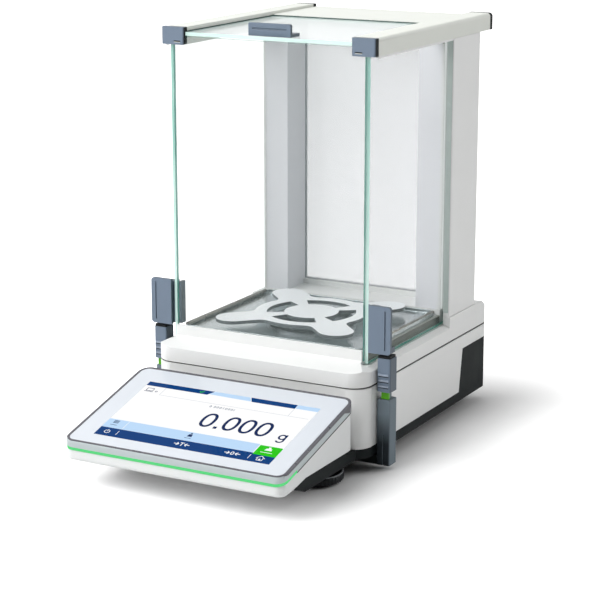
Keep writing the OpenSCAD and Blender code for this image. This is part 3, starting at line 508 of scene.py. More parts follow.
@dataclass(frozen=True)
class Finish:
    """A named surface that makes its own material."""

    name: str
    slot: str
    colour: Colour
    rough: float = 0.5
    clouds: ClassVar[float] = 40.0
    relief: ClassVar[float] = 0.35

    def material(self) -> bpy.types.Material:
        """Gives the finish's material, and builds it the first time.

        Returns:
            The material.
        """
        label = f"{self.name}_finish"
        known = bpy.data.materials.get(label)
        if known:
            return known
        made = bpy.data.materials.new(label)
        made.use_nodes = True
        made.diffuse_color = (*self.colour, 1.0)
        made.node_tree.nodes.clear()
        wiring = Wiring(made.node_tree)
        shader = wiring.add("BsdfPrincipled")
        wiring.put(wiring.add("OutputMaterial").inputs["Surface"], shader.outputs[0])
        self.wire(wiring, shader)
        return made

    def wire(self, wiring: Wiring, shader: bpy.types.Node) -> None:
        """Joins the finish's effects to the shader."""
        raise NotImplementedError

    def smudge(self, wiring: Wiring, shader: bpy.types.Node, below: float, above: float) -> None:
        """Lets the gloss drift in slow clouds.

        Args:
            wiring: The material's wiring.
            shader: Its shader.
            below: How far the roughness falls below the finish's own.
            above: How far it rises above it.
        """
        drift = SMUDGE.place(wiring, Scale=self.clouds).outputs["Amount"]
        rough = wiring.spread(drift, 0.0, 1.0, self.rough - below, self.rough + above)
        wiring.put(shader.inputs["Roughness"], rough)

    def bump(self, wiring: Wiring, shader: bpy.types.Node, height: bpy.types.NodeSocket,
             depth: float) -> None:
        """Raises the surface by a pattern of heights.

        Args:
            wiring: The material's wiring.
            shader: Its shader.
            height: The pattern.
            depth: How high it stands, in millimetres.
        """
        node = wiring.add("Bump")
        wiring.put(node.inputs["Strength"], self.relief)
        wiring.put(node.inputs["Distance"], depth * MM)
        wiring.put(node.inputs["Height"], height)
        wiring.put(shader.inputs["Normal"], node.outputs[0])


DUST_GREY = srgb(200, 198, 192)


@dataclass(frozen=True)
class Moulded(Finish):
    """Moulded plastic, rubber or paint."""

    grain: float = 2500.0
    depth: float = 0.02
    mottle: float = 0.35
    wear: float = 0.25
    # How much lighter the edges get: wear, and with high values a painted highlight.
    wear_and_highlight_lift: float = 1.35
    dust: float = 0.05
    gloss_spread: float = 0.10
    level: float = 0.5
    # Colour towards the foot of front faces: painted shade.
    foot: Colour | None = None
    # Colour for faces turned away from the front and back: painted shade.
    side: Colour | None = None
    mottle_shade: ClassVar[float] = 0.90

    def wire(self, wiring: Wiring, shader: bpy.types.Node) -> None:
        """Grain, mottled tone, worn edges with painted edge highlights, painted shade on turned faces and
        towards the foot, dust and a smudged gloss.

        Args:
            wiring: The material's wiring.
            shader: The material's shader.
        """
        grain = GRAIN.place(wiring, Scale=self.grain)
        tone = wiring.calc("MULTIPLY", grain.outputs["Tone"], self.mottle)
        skin = wiring.blend(tone, self.colour, scaled(self.colour, self.mottle_shade))
        # Painted shade on faces turned away from the front and back.
        if self.side:
            painted_side_shade = PAINTED_SIDE_SHADE.place(wiring, Along=Across.Y.value).outputs["Mask"]
            skin = wiring.blend(painted_side_shade, skin, self.side)
        # Painted shade towards the foot of front faces.
        if self.foot:
            skin = wiring.blend(PAINTED_FOOT_SHADE.place(wiring).outputs["Mask"], skin, self.foot)
        # Edge mask: real wear, and with a strong lift a painted highlight along the edges.
        worn = wiring.calc("MULTIPLY", WEAR_AND_HIGHLIGHT.place(wiring).outputs["Mask"], self.wear)
        edged = wiring.blend(worn, skin, scaled(self.colour, self.wear_and_highlight_lift))
        film = wiring.calc("MULTIPLY", DUST.place(wiring).outputs["Mask"], self.dust)
        wiring.put(shader.inputs["Base Color"], wiring.blend(film, edged, DUST_GREY))
        wiring.put(shader.inputs["Specular IOR Level"], self.level)
        self.smudge(wiring, shader, self.gloss_spread / 2, self.gloss_spread / 2)
        self.bump(wiring, shader, grain.outputs["Height"], self.depth)


@dataclass(frozen=True)
class Metal(Finish):
    """Brushed, ground or cast metal."""

    stretch: Triple = (4000.0, 60.0, 4000.0)
    depth: float = 0.01
    contrast: float = 0.2
    wear: float = 0.3
    metallic: float = 1.0
    # Colour for the walls between a sheet's faces: painted shade.
    side: Colour | None = None
    clouds: ClassVar[float] = 25.0
    relief: ClassVar[float] = 0.25
    line_shade: ClassVar[float] = 0.75
    polish: ClassVar[float] = 1.3

    def wire(self, wiring: Wiring, shader: bpy.types.Node) -> None:
        """Lines, painted shade on side walls, polished edges with painted edge highlights, and a smudged
        gloss.

        Args:
            wiring: The material's wiring.
            shader: The material's shader.
        """
        lines = LINES.place(wiring, Stretch=self.stretch)
        tone = wiring.calc("MULTIPLY", lines.outputs["Tone"], self.contrast)
        skin = wiring.blend(tone, self.colour, scaled(self.colour, self.line_shade))
        # Painted shade on the walls between the faces.
        if self.side:
            skin = wiring.blend(PAINTED_SIDE_SHADE.place(wiring).outputs["Mask"], skin, self.side)
        worn = wiring.calc("MULTIPLY", WEAR_AND_HIGHLIGHT.place(wiring).outputs["Mask"], self.wear)
        bright = wiring.blend(worn, skin, scaled(self.colour, self.polish))
        wiring.put(shader.inputs["Base Color"], bright)
        wiring.put(shader.inputs["Metallic"], self.metallic)
        self.smudge(wiring, shader, 0.04, 0.06)
        self.bump(wiring, shader, lines.outputs["Height"], self.depth)


@dataclass(frozen=True)
class Pane(Finish):
    """Clear float glass whose cut edges show its own colour, with painted highlights and a painted glow on
    those edges.
    """

    across: Across = Across.Y
    face_alpha: float = 0.10
    grazing_alpha: float = 0.85
    grazing_from: float = 0.60
    edge_alpha: float = 0.92
    edge_light: Colour = srgb(216, 240, 233)
    edge_deep: Colour = srgb(60, 148, 132)
    # Strength of the glow painted into the edges.
    painted_edge_glow: float = 0.16
    painted_bright_edges: Across = Across.NONE
    edge_top: float = 0.15
    clouds: ClassVar[float] = 18.0

    def wire(self, wiring: Wiring, shader: bpy.types.Node) -> None:
        """Faint faces, coloured edges and a painted glow in the edges.

        Args:
            wiring: The material's wiring.
            shader: The material's shader.
        """
        edge = PANE_EDGE.place(wiring, Across=self.across.value, Bright=self.painted_bright_edges.value,
                               Top=self.edge_top)
        mask = edge.outputs["Mask"]
        body = wiring.blend(edge.outputs["Depth"], self.edge_light, self.edge_deep)
        wiring.put(shader.inputs["Base Color"], wiring.blend(mask, self.colour, body))
        slant = wiring.add("LayerWeight").outputs["Facing"]
        face = wiring.spread(slant, self.grazing_from, 1.0, self.face_alpha, self.grazing_alpha)
        rim = wiring.calc("MULTIPLY", mask, self.edge_alpha)
        wiring.put(shader.inputs["Alpha"], wiring.calc("MAXIMUM", face, rim))
        # Painted glow in the edges.
        wiring.put(shader.inputs["Emission Color"], wiring.blend(mask, (0.0, 0.0, 0.0), body))
        wiring.put(shader.inputs["Emission Strength"], self.painted_edge_glow)
        self.smudge(wiring, shader, 0.0, 0.05)


@dataclass(frozen=True)
class Lit(Finish):
    """A surface with its own light, such as a patch of the display; on the pale column trims it is painted
    light.
    """

    glow: float = 0.95
    shade: float = 0.04
    clouds: ClassVar[float] = 30.0
    dot_strength: ClassVar[float] = 0.06
    dot_shade: ClassVar[float] = 0.8
    panel_shade: ClassVar[float] = 0.5
    level: ClassVar[float] = 0.04

    def wire(self, wiring: Wiring, shader: bpy.types.Node) -> None:
        """Dots in the light, on a dark panel under a glossy skin.

        Args:
            wiring: The material's wiring.
            shader: The material's shader.
        """
        dots = wiring.calc("MULTIPLY", PIXELS.place(wiring).outputs["Dot"], self.dot_strength)
        light = wiring.blend(dots, self.colour, scaled(self.colour, self.dot_shade))
        wiring.put(shader.inputs["Emission Color"], light)
        wiring.put(shader.inputs["Emission Strength"], self.glow)
        dark = scaled(self.colour, self.shade)
        wiring.put(shader.inputs["Base Color"], wiring.blend(dots, dark, scaled(dark, self.panel_shade)))
        wiring.put(shader.inputs["Specular IOR Level"], self.level)
        self.smudge(wiring, shader, 0.0, 0.06)


def screen_light(word: str, red: int, green: int, blue: int) -> Lit:
    """Makes one light of the display from its name and its screen values."""
    return Lit(f"screen_{word}", "screen_glass", srgb(red, green, blue), 0.08)


WHITE_PAINT = Moulded("white_paint", "white_housing", srgb(234, 235, 234), 0.42, depth=0.012, mottle=0.12,
                      wear=0.12, wear_and_highlight_lift=1.05, dust=0.02)
CASE_PAINT = replace(WHITE_PAINT, name="case_paint", colour=srgb(224, 226, 226))
RAIL_PAINT = replace(WHITE_PAINT, name="rail_paint", colour=srgb(225, 228, 221), depth=0.010, mottle=0.15)
COLUMN_PAINT = Moulded("column_paint", "column_finish", srgb(238, 238, 243), 0.45, depth=0.010, mottle=0.15,
                       wear=0.1, wear_and_highlight_lift=1.05, dust=0.0)
DARK_PLASTIC = Moulded("dark_plastic", "dark_plinth", srgb(27, 32, 33), 0.58, depth=0.03, wear=0.2,
                       level=0.12)
# Its side colour paints shade on the turned faces of caps, handles and couplers.
SLATE_PLASTIC = Moulded("slate_plastic", "slate_plastic", srgb(113, 127, 144), 0.42, wear=0.2, level=0.3,
                        side=srgb(86, 97, 108))
# Its foot colour paints shade on the lower front of the levers.
LEVER_PLASTIC = Moulded("lever_plastic", "lever_plastic", srgb(114, 126, 134), 0.38, wear=0.0, dust=0.0,
                        level=0.06, foot=srgb(48, 55, 60))
# Lighter than the slate, as a painted highlight on the ribs.
RIB_HIGHLIGHT_PLASTIC = Moulded("rib_highlight_plastic", "slate_plastic", srgb(150, 161, 178), 0.22, depth=0.01, wear=0.5)
BEZEL_GLASS = Moulded("bezel_glass", "screen_glass", srgb(209, 214, 221), 0.12, depth=0.0, mottle=0.1,
                      wear=0.1, wear_and_highlight_lift=1.05, dust=0.0, gloss_spread=0.04)
# The rim's strong edge lift paints bright highlights on its edges.
SMOKED_RIM = Moulded("smoked_rim", "rim", srgb(84, 83, 90), 0.28, depth=0.0, mottle=0.2, wear=0.4,
                     wear_and_highlight_lift=2.0, dust=0.0)
# Dark fill for seams, and painted shade in gaps, slits and under ribs.
DARK_SEAM_AND_SHADE = Moulded("dark_seam_and_shade", "rubber", srgb(46, 48, 46), 0.60, level=0.2)
GLASS_SEAL = Moulded("glass_seal", "rubber", srgb(40, 72, 66), 0.45, depth=0.01, level=0.3)
BLACK_RUBBER = Moulded("black_rubber", "rubber", srgb(30, 33, 35), 0.70, depth=0.05, wear=0.15, level=0.25)
EDGE_GREEN = Moulded("edge_green", "pane", srgb(190, 202, 198), 0.25, depth=0.0, level=0.4)
FLAG_GREEN = Moulded("flag_green", "flag", srgb(84, 168, 14), 0.35, depth=0.01, wear=0.2)
# Pale ring on the wheel's top edge: a painted highlight of its chamfer.
WHEEL_EDGE_HIGHLIGHT = Moulded("wheel_ring", "wheel", srgb(156, 161, 164), 0.35, wear=0.3)
# A strong edge lift paints the wheel's rim lighter as a highlight.
WHEEL_PLASTIC = Moulded("wheel_plastic", "wheel", srgb(24, 29, 33), 0.42, wear=0.4, wear_and_highlight_lift=2.2, level=0.3)
GLIDE_PLASTIC = Moulded("glide_plastic", "glide", srgb(228, 228, 220), 0.40, depth=0.01)
BOARD_GREEN = Moulded("board_green", "board", srgb(44, 107, 69), 0.40, grain=900.0)
DISPLAY_BLACK = Moulded("display_black", "display", srgb(30, 34, 38), 0.25)

ALONG_X = (60.0, 4000.0, 4000.0)
ALONG_Y = (3200.0, 90.0, 3200.0)
SILVER_FRAME = Metal("silver_frame", "silver_frame", srgb(186, 195, 197), 0.45, ALONG_X, contrast=0.15,
                     metallic=0.4)
# Its side colour paints the pan's walls dark, as shade and reflection of the tray.
PAN_STEEL = Metal("pan_steel", "stainless", srgb(250, 253, 255), 0.36, (2600.0, 160.0, 2600.0),
                  contrast=0.10, metallic=0.1, side=srgb(96, 102, 106))
TRAY_STEEL = Metal("tray_steel", "tray_steel", srgb(210, 217, 219), 0.20, (90.0, 3200.0, 3200.0),
                   contrast=0.25)
BEAD_STEEL = Metal("bead_steel", "tray_steel", srgb(150, 146, 138), 0.25, ALONG_Y)
# Its side colour paints the liner's walls darker, as shade.
TRACK_STEEL = Metal("track_steel", "tray_steel", srgb(166, 168, 160), 0.40, ALONG_Y, metallic=0.2,
                    side=srgb(104, 106, 99))
CARRIER_METAL = Metal("carrier_metal", "carrier_metal", srgb(110, 116, 120), 0.50, (900.0, 900.0, 900.0))
CELL_ALLOY = Metal("cell_alloy", "cell_alloy", srgb(190, 194, 198), 0.35)
SCREW_STEEL = Metal("screw_steel", "screw_steel", srgb(180, 182, 184), 0.30)
MAGNET_NICKEL = Metal("magnet_nickel", "magnet", srgb(110, 114, 118), 0.30, (800.0, 800.0, 800.0))
COIL_COPPER = Metal("coil_copper", "coil", srgb(176, 106, 60), 0.35, (60.0, 60.0, 5000.0), contrast=0.5)
WEIGHT_STEEL = Metal("weight_steel", "cal_mass", srgb(206, 204, 196), 0.18)
PORT_METAL = Metal("port_metal", "port_metal", srgb(150, 154, 158), 0.35)
CONTACT_GOLD = Metal("contact_gold", "port_metal", srgb(206, 172, 92), 0.30)

CLEAR = srgb(158, 172, 169)
SIDE_PANE = Pane("side_pane", "pane", CLEAR, 0.03, across=Across.X, painted_bright_edges=Across.Y, edge_top=0.8)
FRONT_PANE = Pane("front_pane", "pane", CLEAR, 0.03, across=Across.Y)
TOP_PANE = Pane("top_pane", "pane", srgb(240, 246, 246), 0.03, across=Across.Z, painted_bright_edges=Across.Y)
REAR_PANE = Pane("rear_pane", "pane", srgb(205, 206, 210), 0.03, across=Across.Y, face_alpha=0.42)

# Glowing strips that paint light on the shaded outer side of a column.
PAINTED_LIGHT_LIP = Lit("painted_light_lip", "column_finish", srgb(238, 242, 241), 0.40, glow=0.75, shade=0.2)
PAINTED_LIGHT_LINER = replace(PAINTED_LIGHT_LIP, name="painted_light_liner", colour=srgb(182, 188, 186))
LIGHT_LINE = Lit("light_line", "light", srgb(102, 226, 138), 0.30, glow=0.9)
SCREEN_WHITE = screen_light("white", 255, 255, 255)
SCREEN_NAVY = screen_light("navy", 0, 60, 124)
SCREEN_SKY = screen_light("sky", 190, 220, 250)
SCREEN_INK = screen_light("ink", 12, 38, 88)
SCREEN_GREY = screen_light("grey", 205, 210, 218)
SCREEN_NOTE = screen_light("note", 120, 132, 150)
SCREEN_GREEN = screen_light("green", 40, 200, 14)
SCREEN_PAPER = screen_light("paper", 250, 252, 255)


WELD_GAP = 0.002
FLAT_ANGLE = math.radians(0.4)
SHARP_ANGLE = math.radians(35)


def round_edges(shape: bpy.types.Object, radius: float, segments: int) -> bpy.types.BevelModifier:
    """Rounds the sharp edges of a shape on its way to the picture.

    Args:
        shape: The shape.
        radius: Radius of its edges in millimetres.
        segments: Steps of each rounded edge.

    Returns:
        The modifier.
    """
    soft = shape.modifiers.new("edge", "BEVEL")
    soft.width = radius * MM
    soft.segments = segments
    soft.limit_method = "ANGLE"
    soft.angle_limit = SHARP_ANGLE
    return soft


def dress(node: str, finish: Finish, edge: float = 0.0, segments: int = 2) -> None:
    """Gives a CAD node its finish, and rounds its edges.

    Args:
        node: The node's name.
        finish: The finish to give.
        edge: Radius of the edges in millimetres, or 0 for none.
        segments: Steps of each rounded edge.
    """
    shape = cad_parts[node]
    shape.data.materials.clear()
    shape.data.materials.append(finish.material())
    if edge:
        weld = shape.modifiers.new("weld", "WELD")
        weld.merge_threshold = WELD_GAP * MM
        flat = shape.modifiers.new("flat", "DECIMATE")
        flat.decimate_type = "DISSOLVE"
        flat.angle_limit = FLAT_ANGLE
        soft = round_edges(shape, edge, segments)
        soft.use_clamp_overlap = True
        soft.harden_normals = True
    LOG.info("dressed %s in %s", node, finish.name)


def add_piece(name: str, bm: bmesh.types.BMesh, finish: Finish, body: str, smooth: bool = False,
              edge: float = 0.0) -> None:
    """Turns a mesh into a piece that rides on a body.

    Args:
        name: The piece's name.
        bm: Its mesh, which is used up.
        finish: Its finish.
        body: The body that it moves with.
        smooth: Whether its faces shade smoothly.
        edge: Radius of its edges in millimetres, or 0 for none.
    """
    bmesh.ops.recalc_face_normals(bm, faces=bm.faces)
    mesh = bpy.data.meshes.new(name)
    bm.to_mesh(mesh)
    bm.free()
    for face in mesh.polygons:
        face.use_smooth = smooth
    shape = bpy.data.objects.new(name, mesh)
    bpy.context.scene.collection.objects.link(shape)
    mesh.materials.append(finish.material())
    if edge:
        round_edges(shape, edge, 2)
    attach(shape, body)
    LOG.info("built %s on %s", name, body)


def add_prism(name: str, outline: Sequence[Point], reach: Point, frame_of: Matrix, finish: Finish, body: str,
              edge: float = 0.0) -> None:
    """Adds a piece that is one closed prism.

    Args:
        name: The piece's name.
        outline: Its outline in millimetres.
        reach: Its start and end in millimetres.
        frame_of: Takes the outline's frame to the part's frame.
        finish: Its finish.
        body: The body that it moves with.
        edge: Radius of its edges in millimetres, or 0 for none.
    """
    bm = bmesh.new()
    extrude(bm, outline, *reach, frame_of)
    add_piece(name, bm, finish, body, edge=edge)


def rounded(x0: float, x1: float, y0: float, y1: float, radius: float, steps: int = 6) -> list[Point]:
    """Draws a rectangle with round corners.

    Args:
        x0: Low end across.
        x1: High end across.
        y0: Low end up.
        y1: High end up.
        radius: Corner radius.
        steps: Steps of each corner.

    Returns:
        Its outline, counter-clockwise.
    """
    corners = ((x1 - radius, y0 + radius, -90), (x1 - radius, y1 - radius, 0),
               (x0 + radius, y1 - radius, 90), (x0 + radius, y0 + radius, 180))
    points = []
    for cx, cy, start in corners:
        for step in range(steps + 1):
            turn = math.radians(start + 90 * step / steps)
            points.append((cx + radius * math.cos(turn), cy + radius * math.sin(turn)))
    return points


def extrude(bm: bmesh.types.BMesh, outline: Sequence[Point], low: float, high: float,
            frame_of: Matrix) -> None:
    """Adds a closed prism over an outline.

    Args:
        bm: Mesh to add to.
        outline: Outline in millimetres.
        low: Start of the prism in millimetres.
        high: End of the prism in millimetres.
        frame_of: Takes the outline's frame, in millimetres, to the part's frame in metres.
    """
    rings = [[bm.verts.new(frame_of @ Vector((x, y, level))) for x, y in outline] for level in (low, high)]
    bm.faces.new(list(reversed(rings[0])))
    bm.faces.new(rings[1])
    for k in range(len(outline)):
        nxt = (k + 1) % len(outline)
        bm.faces.new((rings[0][k], rings[0][nxt], rings[1][nxt], rings[1][k]))


def ribbon(bm: bmesh.types.BMesh, outer: Sequence[Point], inner: Sequence[Point], lows: Sequence[float],
           highs: Sequence[float], frame_of: Matrix, closed: bool) -> None:
    """Adds a solid band whose height changes from point to point.

    Args:
        bm: Mesh to add to.
        outer: Outer outline in millimetres.
        inner: Inner outline in millimetres.
        lows: Start of the band at each point.
        highs: End of the band at each point.
        frame_of: Takes the outlines' frame to the part's frame.
        closed: Whether the band runs round to its start.
    """
    rows = []
    for (ox, oy), (ix, iy), low, high in zip(outer, inner, lows, highs):
        corners = ((ox, oy, low), (ox, oy, high), (ix, iy, high), (ix, iy, low))
        rows.append([bm.verts.new(frame_of @ Vector(c)) for c in corners])
    spans = list(zip(rows, rows[1:] + rows[:1] if closed else rows[1:]))
    for here, there in spans:
        for k in range(4):
            nxt = (k + 1) % 4
            bm.faces.new((here[k], here[nxt], there[nxt], there[k]))
    if not closed:
        bm.faces.new(list(reversed(rows[0])))
        bm.faces.new(rows[-1])


def band(bm: bmesh.types.BMesh, outer: Sequence[Point], inner: Sequence[Point], low: float, high: float,
         frame_of: Matrix, closed: bool = True) -> None:
    """Adds a solid band of even height between two outlines with as many points each."""
    ribbon(bm, outer, inner, [low] * len(outer), [high] * len(outer), frame_of, closed)


def lathe(bm: bmesh.types.BMesh, profile: Sequence[Point], frame_of: Matrix, steps: int = 32) -> None:
    """Turns a closed profile of radius and height round an axis.

    Args:
        bm: Mesh to add to.
        profile: Points of radius and height in millimetres.
        frame_of: Takes the turning frame to the part's frame.
        steps: Steps round the axis.
    """
    rings = []
    for step in range(steps):
        turn = 2 * math.pi * step / steps
        rings.append([bm.verts.new(frame_of @ Vector((r * math.cos(turn), r * math.sin(turn), z)))
                      for r, z in profile])
    for k in range(steps):
        here, there = rings[k], rings[(k + 1) % steps]
        for j in range(len(profile)):
            nxt = (j + 1) % len(profile)
            bm.faces.new((here[j], there[j], there[nxt], here[nxt]))
    bmesh.ops.remove_doubles(bm, verts=bm.verts, dist=1e-7)


def millimetres(origin: Vector, across: Vector, up: Vector) -> Matrix:
    """Makes a frame in millimetres at a place on the part.

    Args:
        origin: Its origin in metres.
        across: Direction of its first axis.
        up: Direction of its second axis.

    Returns:
        The matrix from that frame to the part's.
    """
    third = across.cross(up)
    turn = Matrix((across, up, third)).transposed().to_4x4()
    return Matrix.Translation(origin) @ turn @ Matrix.Scale(MM, 4)


X_AXIS = Vector((1.0, 0.0, 0.0))
Y_AXIS = Vector((0.0, 1.0, 0.0))
Z_AXIS = Vector((0.0, 0.0, 1.0))
UPRIGHT = millimetres(Vector(), X_AXIS, Y_AXIS)
FRONTWAYS = millimetres(Vector(), X_AXIS, Z_AXIS)
SIDEWAYS = millimetres(Vector(), Y_AXIS, Z_AXIS)


def span(node: str) -> tuple[Vector, Vector]:
    """Gives a node's lowest and highest corners in millimetres."""
    low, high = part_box(node)
    return Vector(low) / MM, Vector(high) / MM


def plan_of(node: str, inset: float, front_r: float, back_r: float, steps: int = 6) -> list[Point]:
    """Draws a node's plan from its front right corner round to its front left one.

    Args:
        node: The node's name.
        inset: How far the outline is drawn in.
        front_r: Radius of its front corners.
        back_r: Radius of its back corners.
        steps: Steps of each corner.

    Returns:
        The outline in millimetres.
    """
    low, high = span(node)
    ends = (low.x + inset, high.x - inset, low.y + inset, high.y - inset)
    front, back = (rounded(*ends, radius - inset, steps) for radius in (front_r, back_r))
    quarter = len(front) // 4
    return front[:quarter] + back[quarter:3 * quarter] + front[3 * quarter:]


class SubAssembly:
    """A group of pieces that belong together."""

    def dress(self) -> None:
        """Gives the group's nodes their finishes."""
        raise NotImplementedError

    def build(self) -> None:
        """Adds the group's thin trim, where it has some."""


@dataclass
class BaseHousing(SubAssembly):
    """The white housings, the dark tray and what is fixed under and behind them."""

    edge: float = 1.6
    front_r: float = 16.0
    back_r: float = 8.0
    upper_rise: float = 30.9
    seam_proud: float = 0.05
    seam_depth: float = 1.0
    seam_sink: float = 0.3
    seam_height: float = 0.8
    seam_front: float = 0.35
    seam_steps: int = 24
    ports: tuple[Point, ...] = ((-52.0, 5.0), (-30.0, 8.0), (-6.0, 11.6), (18.0, 11.6), (50.0, 26.0))
    core_half: float = 1.9
    core_reach: Point = (0.5, 2.9)
    contacts: int = 4
    contact_half: Point = (0.35, 1.5)
    contact_reach: Point = (0.35, 0.7)
    deck_gap: float = 0.3
    liner_gap: float = 0.2
    liner_sheet: float = 0.35
    liner_skin: float = 0.3
    liner_drop: float = 6.2
    liner_end: float = 1.5
    body: str = "base"

    def dress(self) -> None:
        """Gives the housings their paint."""
        dress("upper_housing", WHITE_PAINT, self.edge, 4)
        dress("lower_housing", WHITE_PAINT, 0.3)
        dress("base_tray", DARK_PLASTIC, 0.4)
        dress("housing_screws", SCREW_STEEL)
        dress("rear_feet", BLACK_RUBBER)
        dress("guide_rods", SCREW_STEEL)
        dress("rod_hangers", DARK_PLASTIC, 0.4)
        dress("rear_ports", PORT_METAL)
        dress("main_board", BOARD_GREEN)

    def build(self) -> None:
        """Adds the seam, the liners of the deck and the insides of the connectors."""
        self.build_seam()
        for side in Side:
            self.build_track_liner(side)
        self.build_port_cores()

    def build_seam(self) -> None:
        """Lays a dark band between the white housings as painted shade of the gap, narrower at the front than
        on the sides.
        """
        outer, inner = (plan_of("lower_housing", inset, self.front_r, self.back_r, self.seam_steps)
                        for inset in (-self.seam_proud, self.seam_depth - self.seam_proud))
        front = span("lower_housing")[0].y
        foot = span("upper_housing")[1].z - self.upper_rise
        rise = self.seam_height - self.seam_front
        tops = [foot + self.seam_front + rise * min(1.0, (y - front) / self.front_r) for _, y in outer]
        bm = bmesh.new()
        ribbon(bm, outer, inner, [foot - self.seam_sink] * len(outer), tops, UPRIGHT, True)
        add_piece("housing_seam", bm, DARK_SEAM_AND_SHADE, self.body)

    def build_port_cores(self) -> None:
        """Fits a dark core and gold contacts into each connector on the back."""
        low, high = span("rear_ports")
        middle = (low.z + high.z) / 2
        bottom, top = middle - self.core_half, middle + self.core_half
        pin_x, pin_z = self.contact_half
        cores, contacts = bmesh.new(), bmesh.new()
        for x, width in self.ports:
            core = rounded(x - width / 2, x + width / 2, bottom, top, 0.5)
            extrude(cores, core, *(depth - high.y for depth in self.core_reach), FRONTWAYS)
            for k in range(self.contacts):
                at = x + width * (k - (self.contacts - 1) / 2) / (self.contacts + 1)
                pin = rounded(at - pin_x, at + pin_x, middle - pin_z, middle + pin_z, 0.15, 2)
                extrude(contacts, pin, *(depth - high.y for depth in self.contact_reach), FRONTWAYS)
        add_piece("port_cores", cores, DARK_PLASTIC, self.body, edge=0.2)
        add_piece("port_contacts", contacts, CONTACT_GOLD, self.body)

    def build_track_liner(self, side: Side) -> None:
        """Folds a steel liner over the edge of the deck, beside a door's track.

        Args:
            side: The side that it is on.
        """
        low, high = span("drip_tray")
        wall = -span("left_column")[0].x
        deck = low.z - self.deck_gap
        start, top = high.x + self.liner_gap, deck + self.liner_sheet
        skin, foot = wall + self.liner_skin, deck - self.liner_drop
        bend = [(wall - 0.5, top), (wall + 0.1, deck + 0.2), (skin, deck - 0.4)]
        fold = [(start, deck), (start, top), *bend, (skin, foot), (wall, foot), (wall, deck)]
        outline = [(x * side.value, z) for x, z in fold]
        add_prism(f"{side.word}_track_liner", outline, (-high.y, -low.y - self.liner_end), FRONTWAYS,
                  TRACK_STEEL, self.body)


@dataclass
class WeighingWorks(SubAssembly):
    """The load cell and what works with it inside the base."""

    finishes: dict[str, Finish] = field(default_factory=lambda: {
        "cell_plate": CELL_ALLOY, "load_cell": CELL_ALLOY, "load_lever": CELL_ALLOY,
        "magnet_pot": MAGNET_NICKEL, "force_coil": COIL_COPPER, "pan_spigot": SCREW_STEEL,
        "calibration_weight": WEIGHT_STEEL, "calibration_motor": PORT_METAL,
    })

    def dress(self) -> None:
        """Gives each piece its metal."""
        for node, finish in self.finishes.items():
            dress(node, finish)


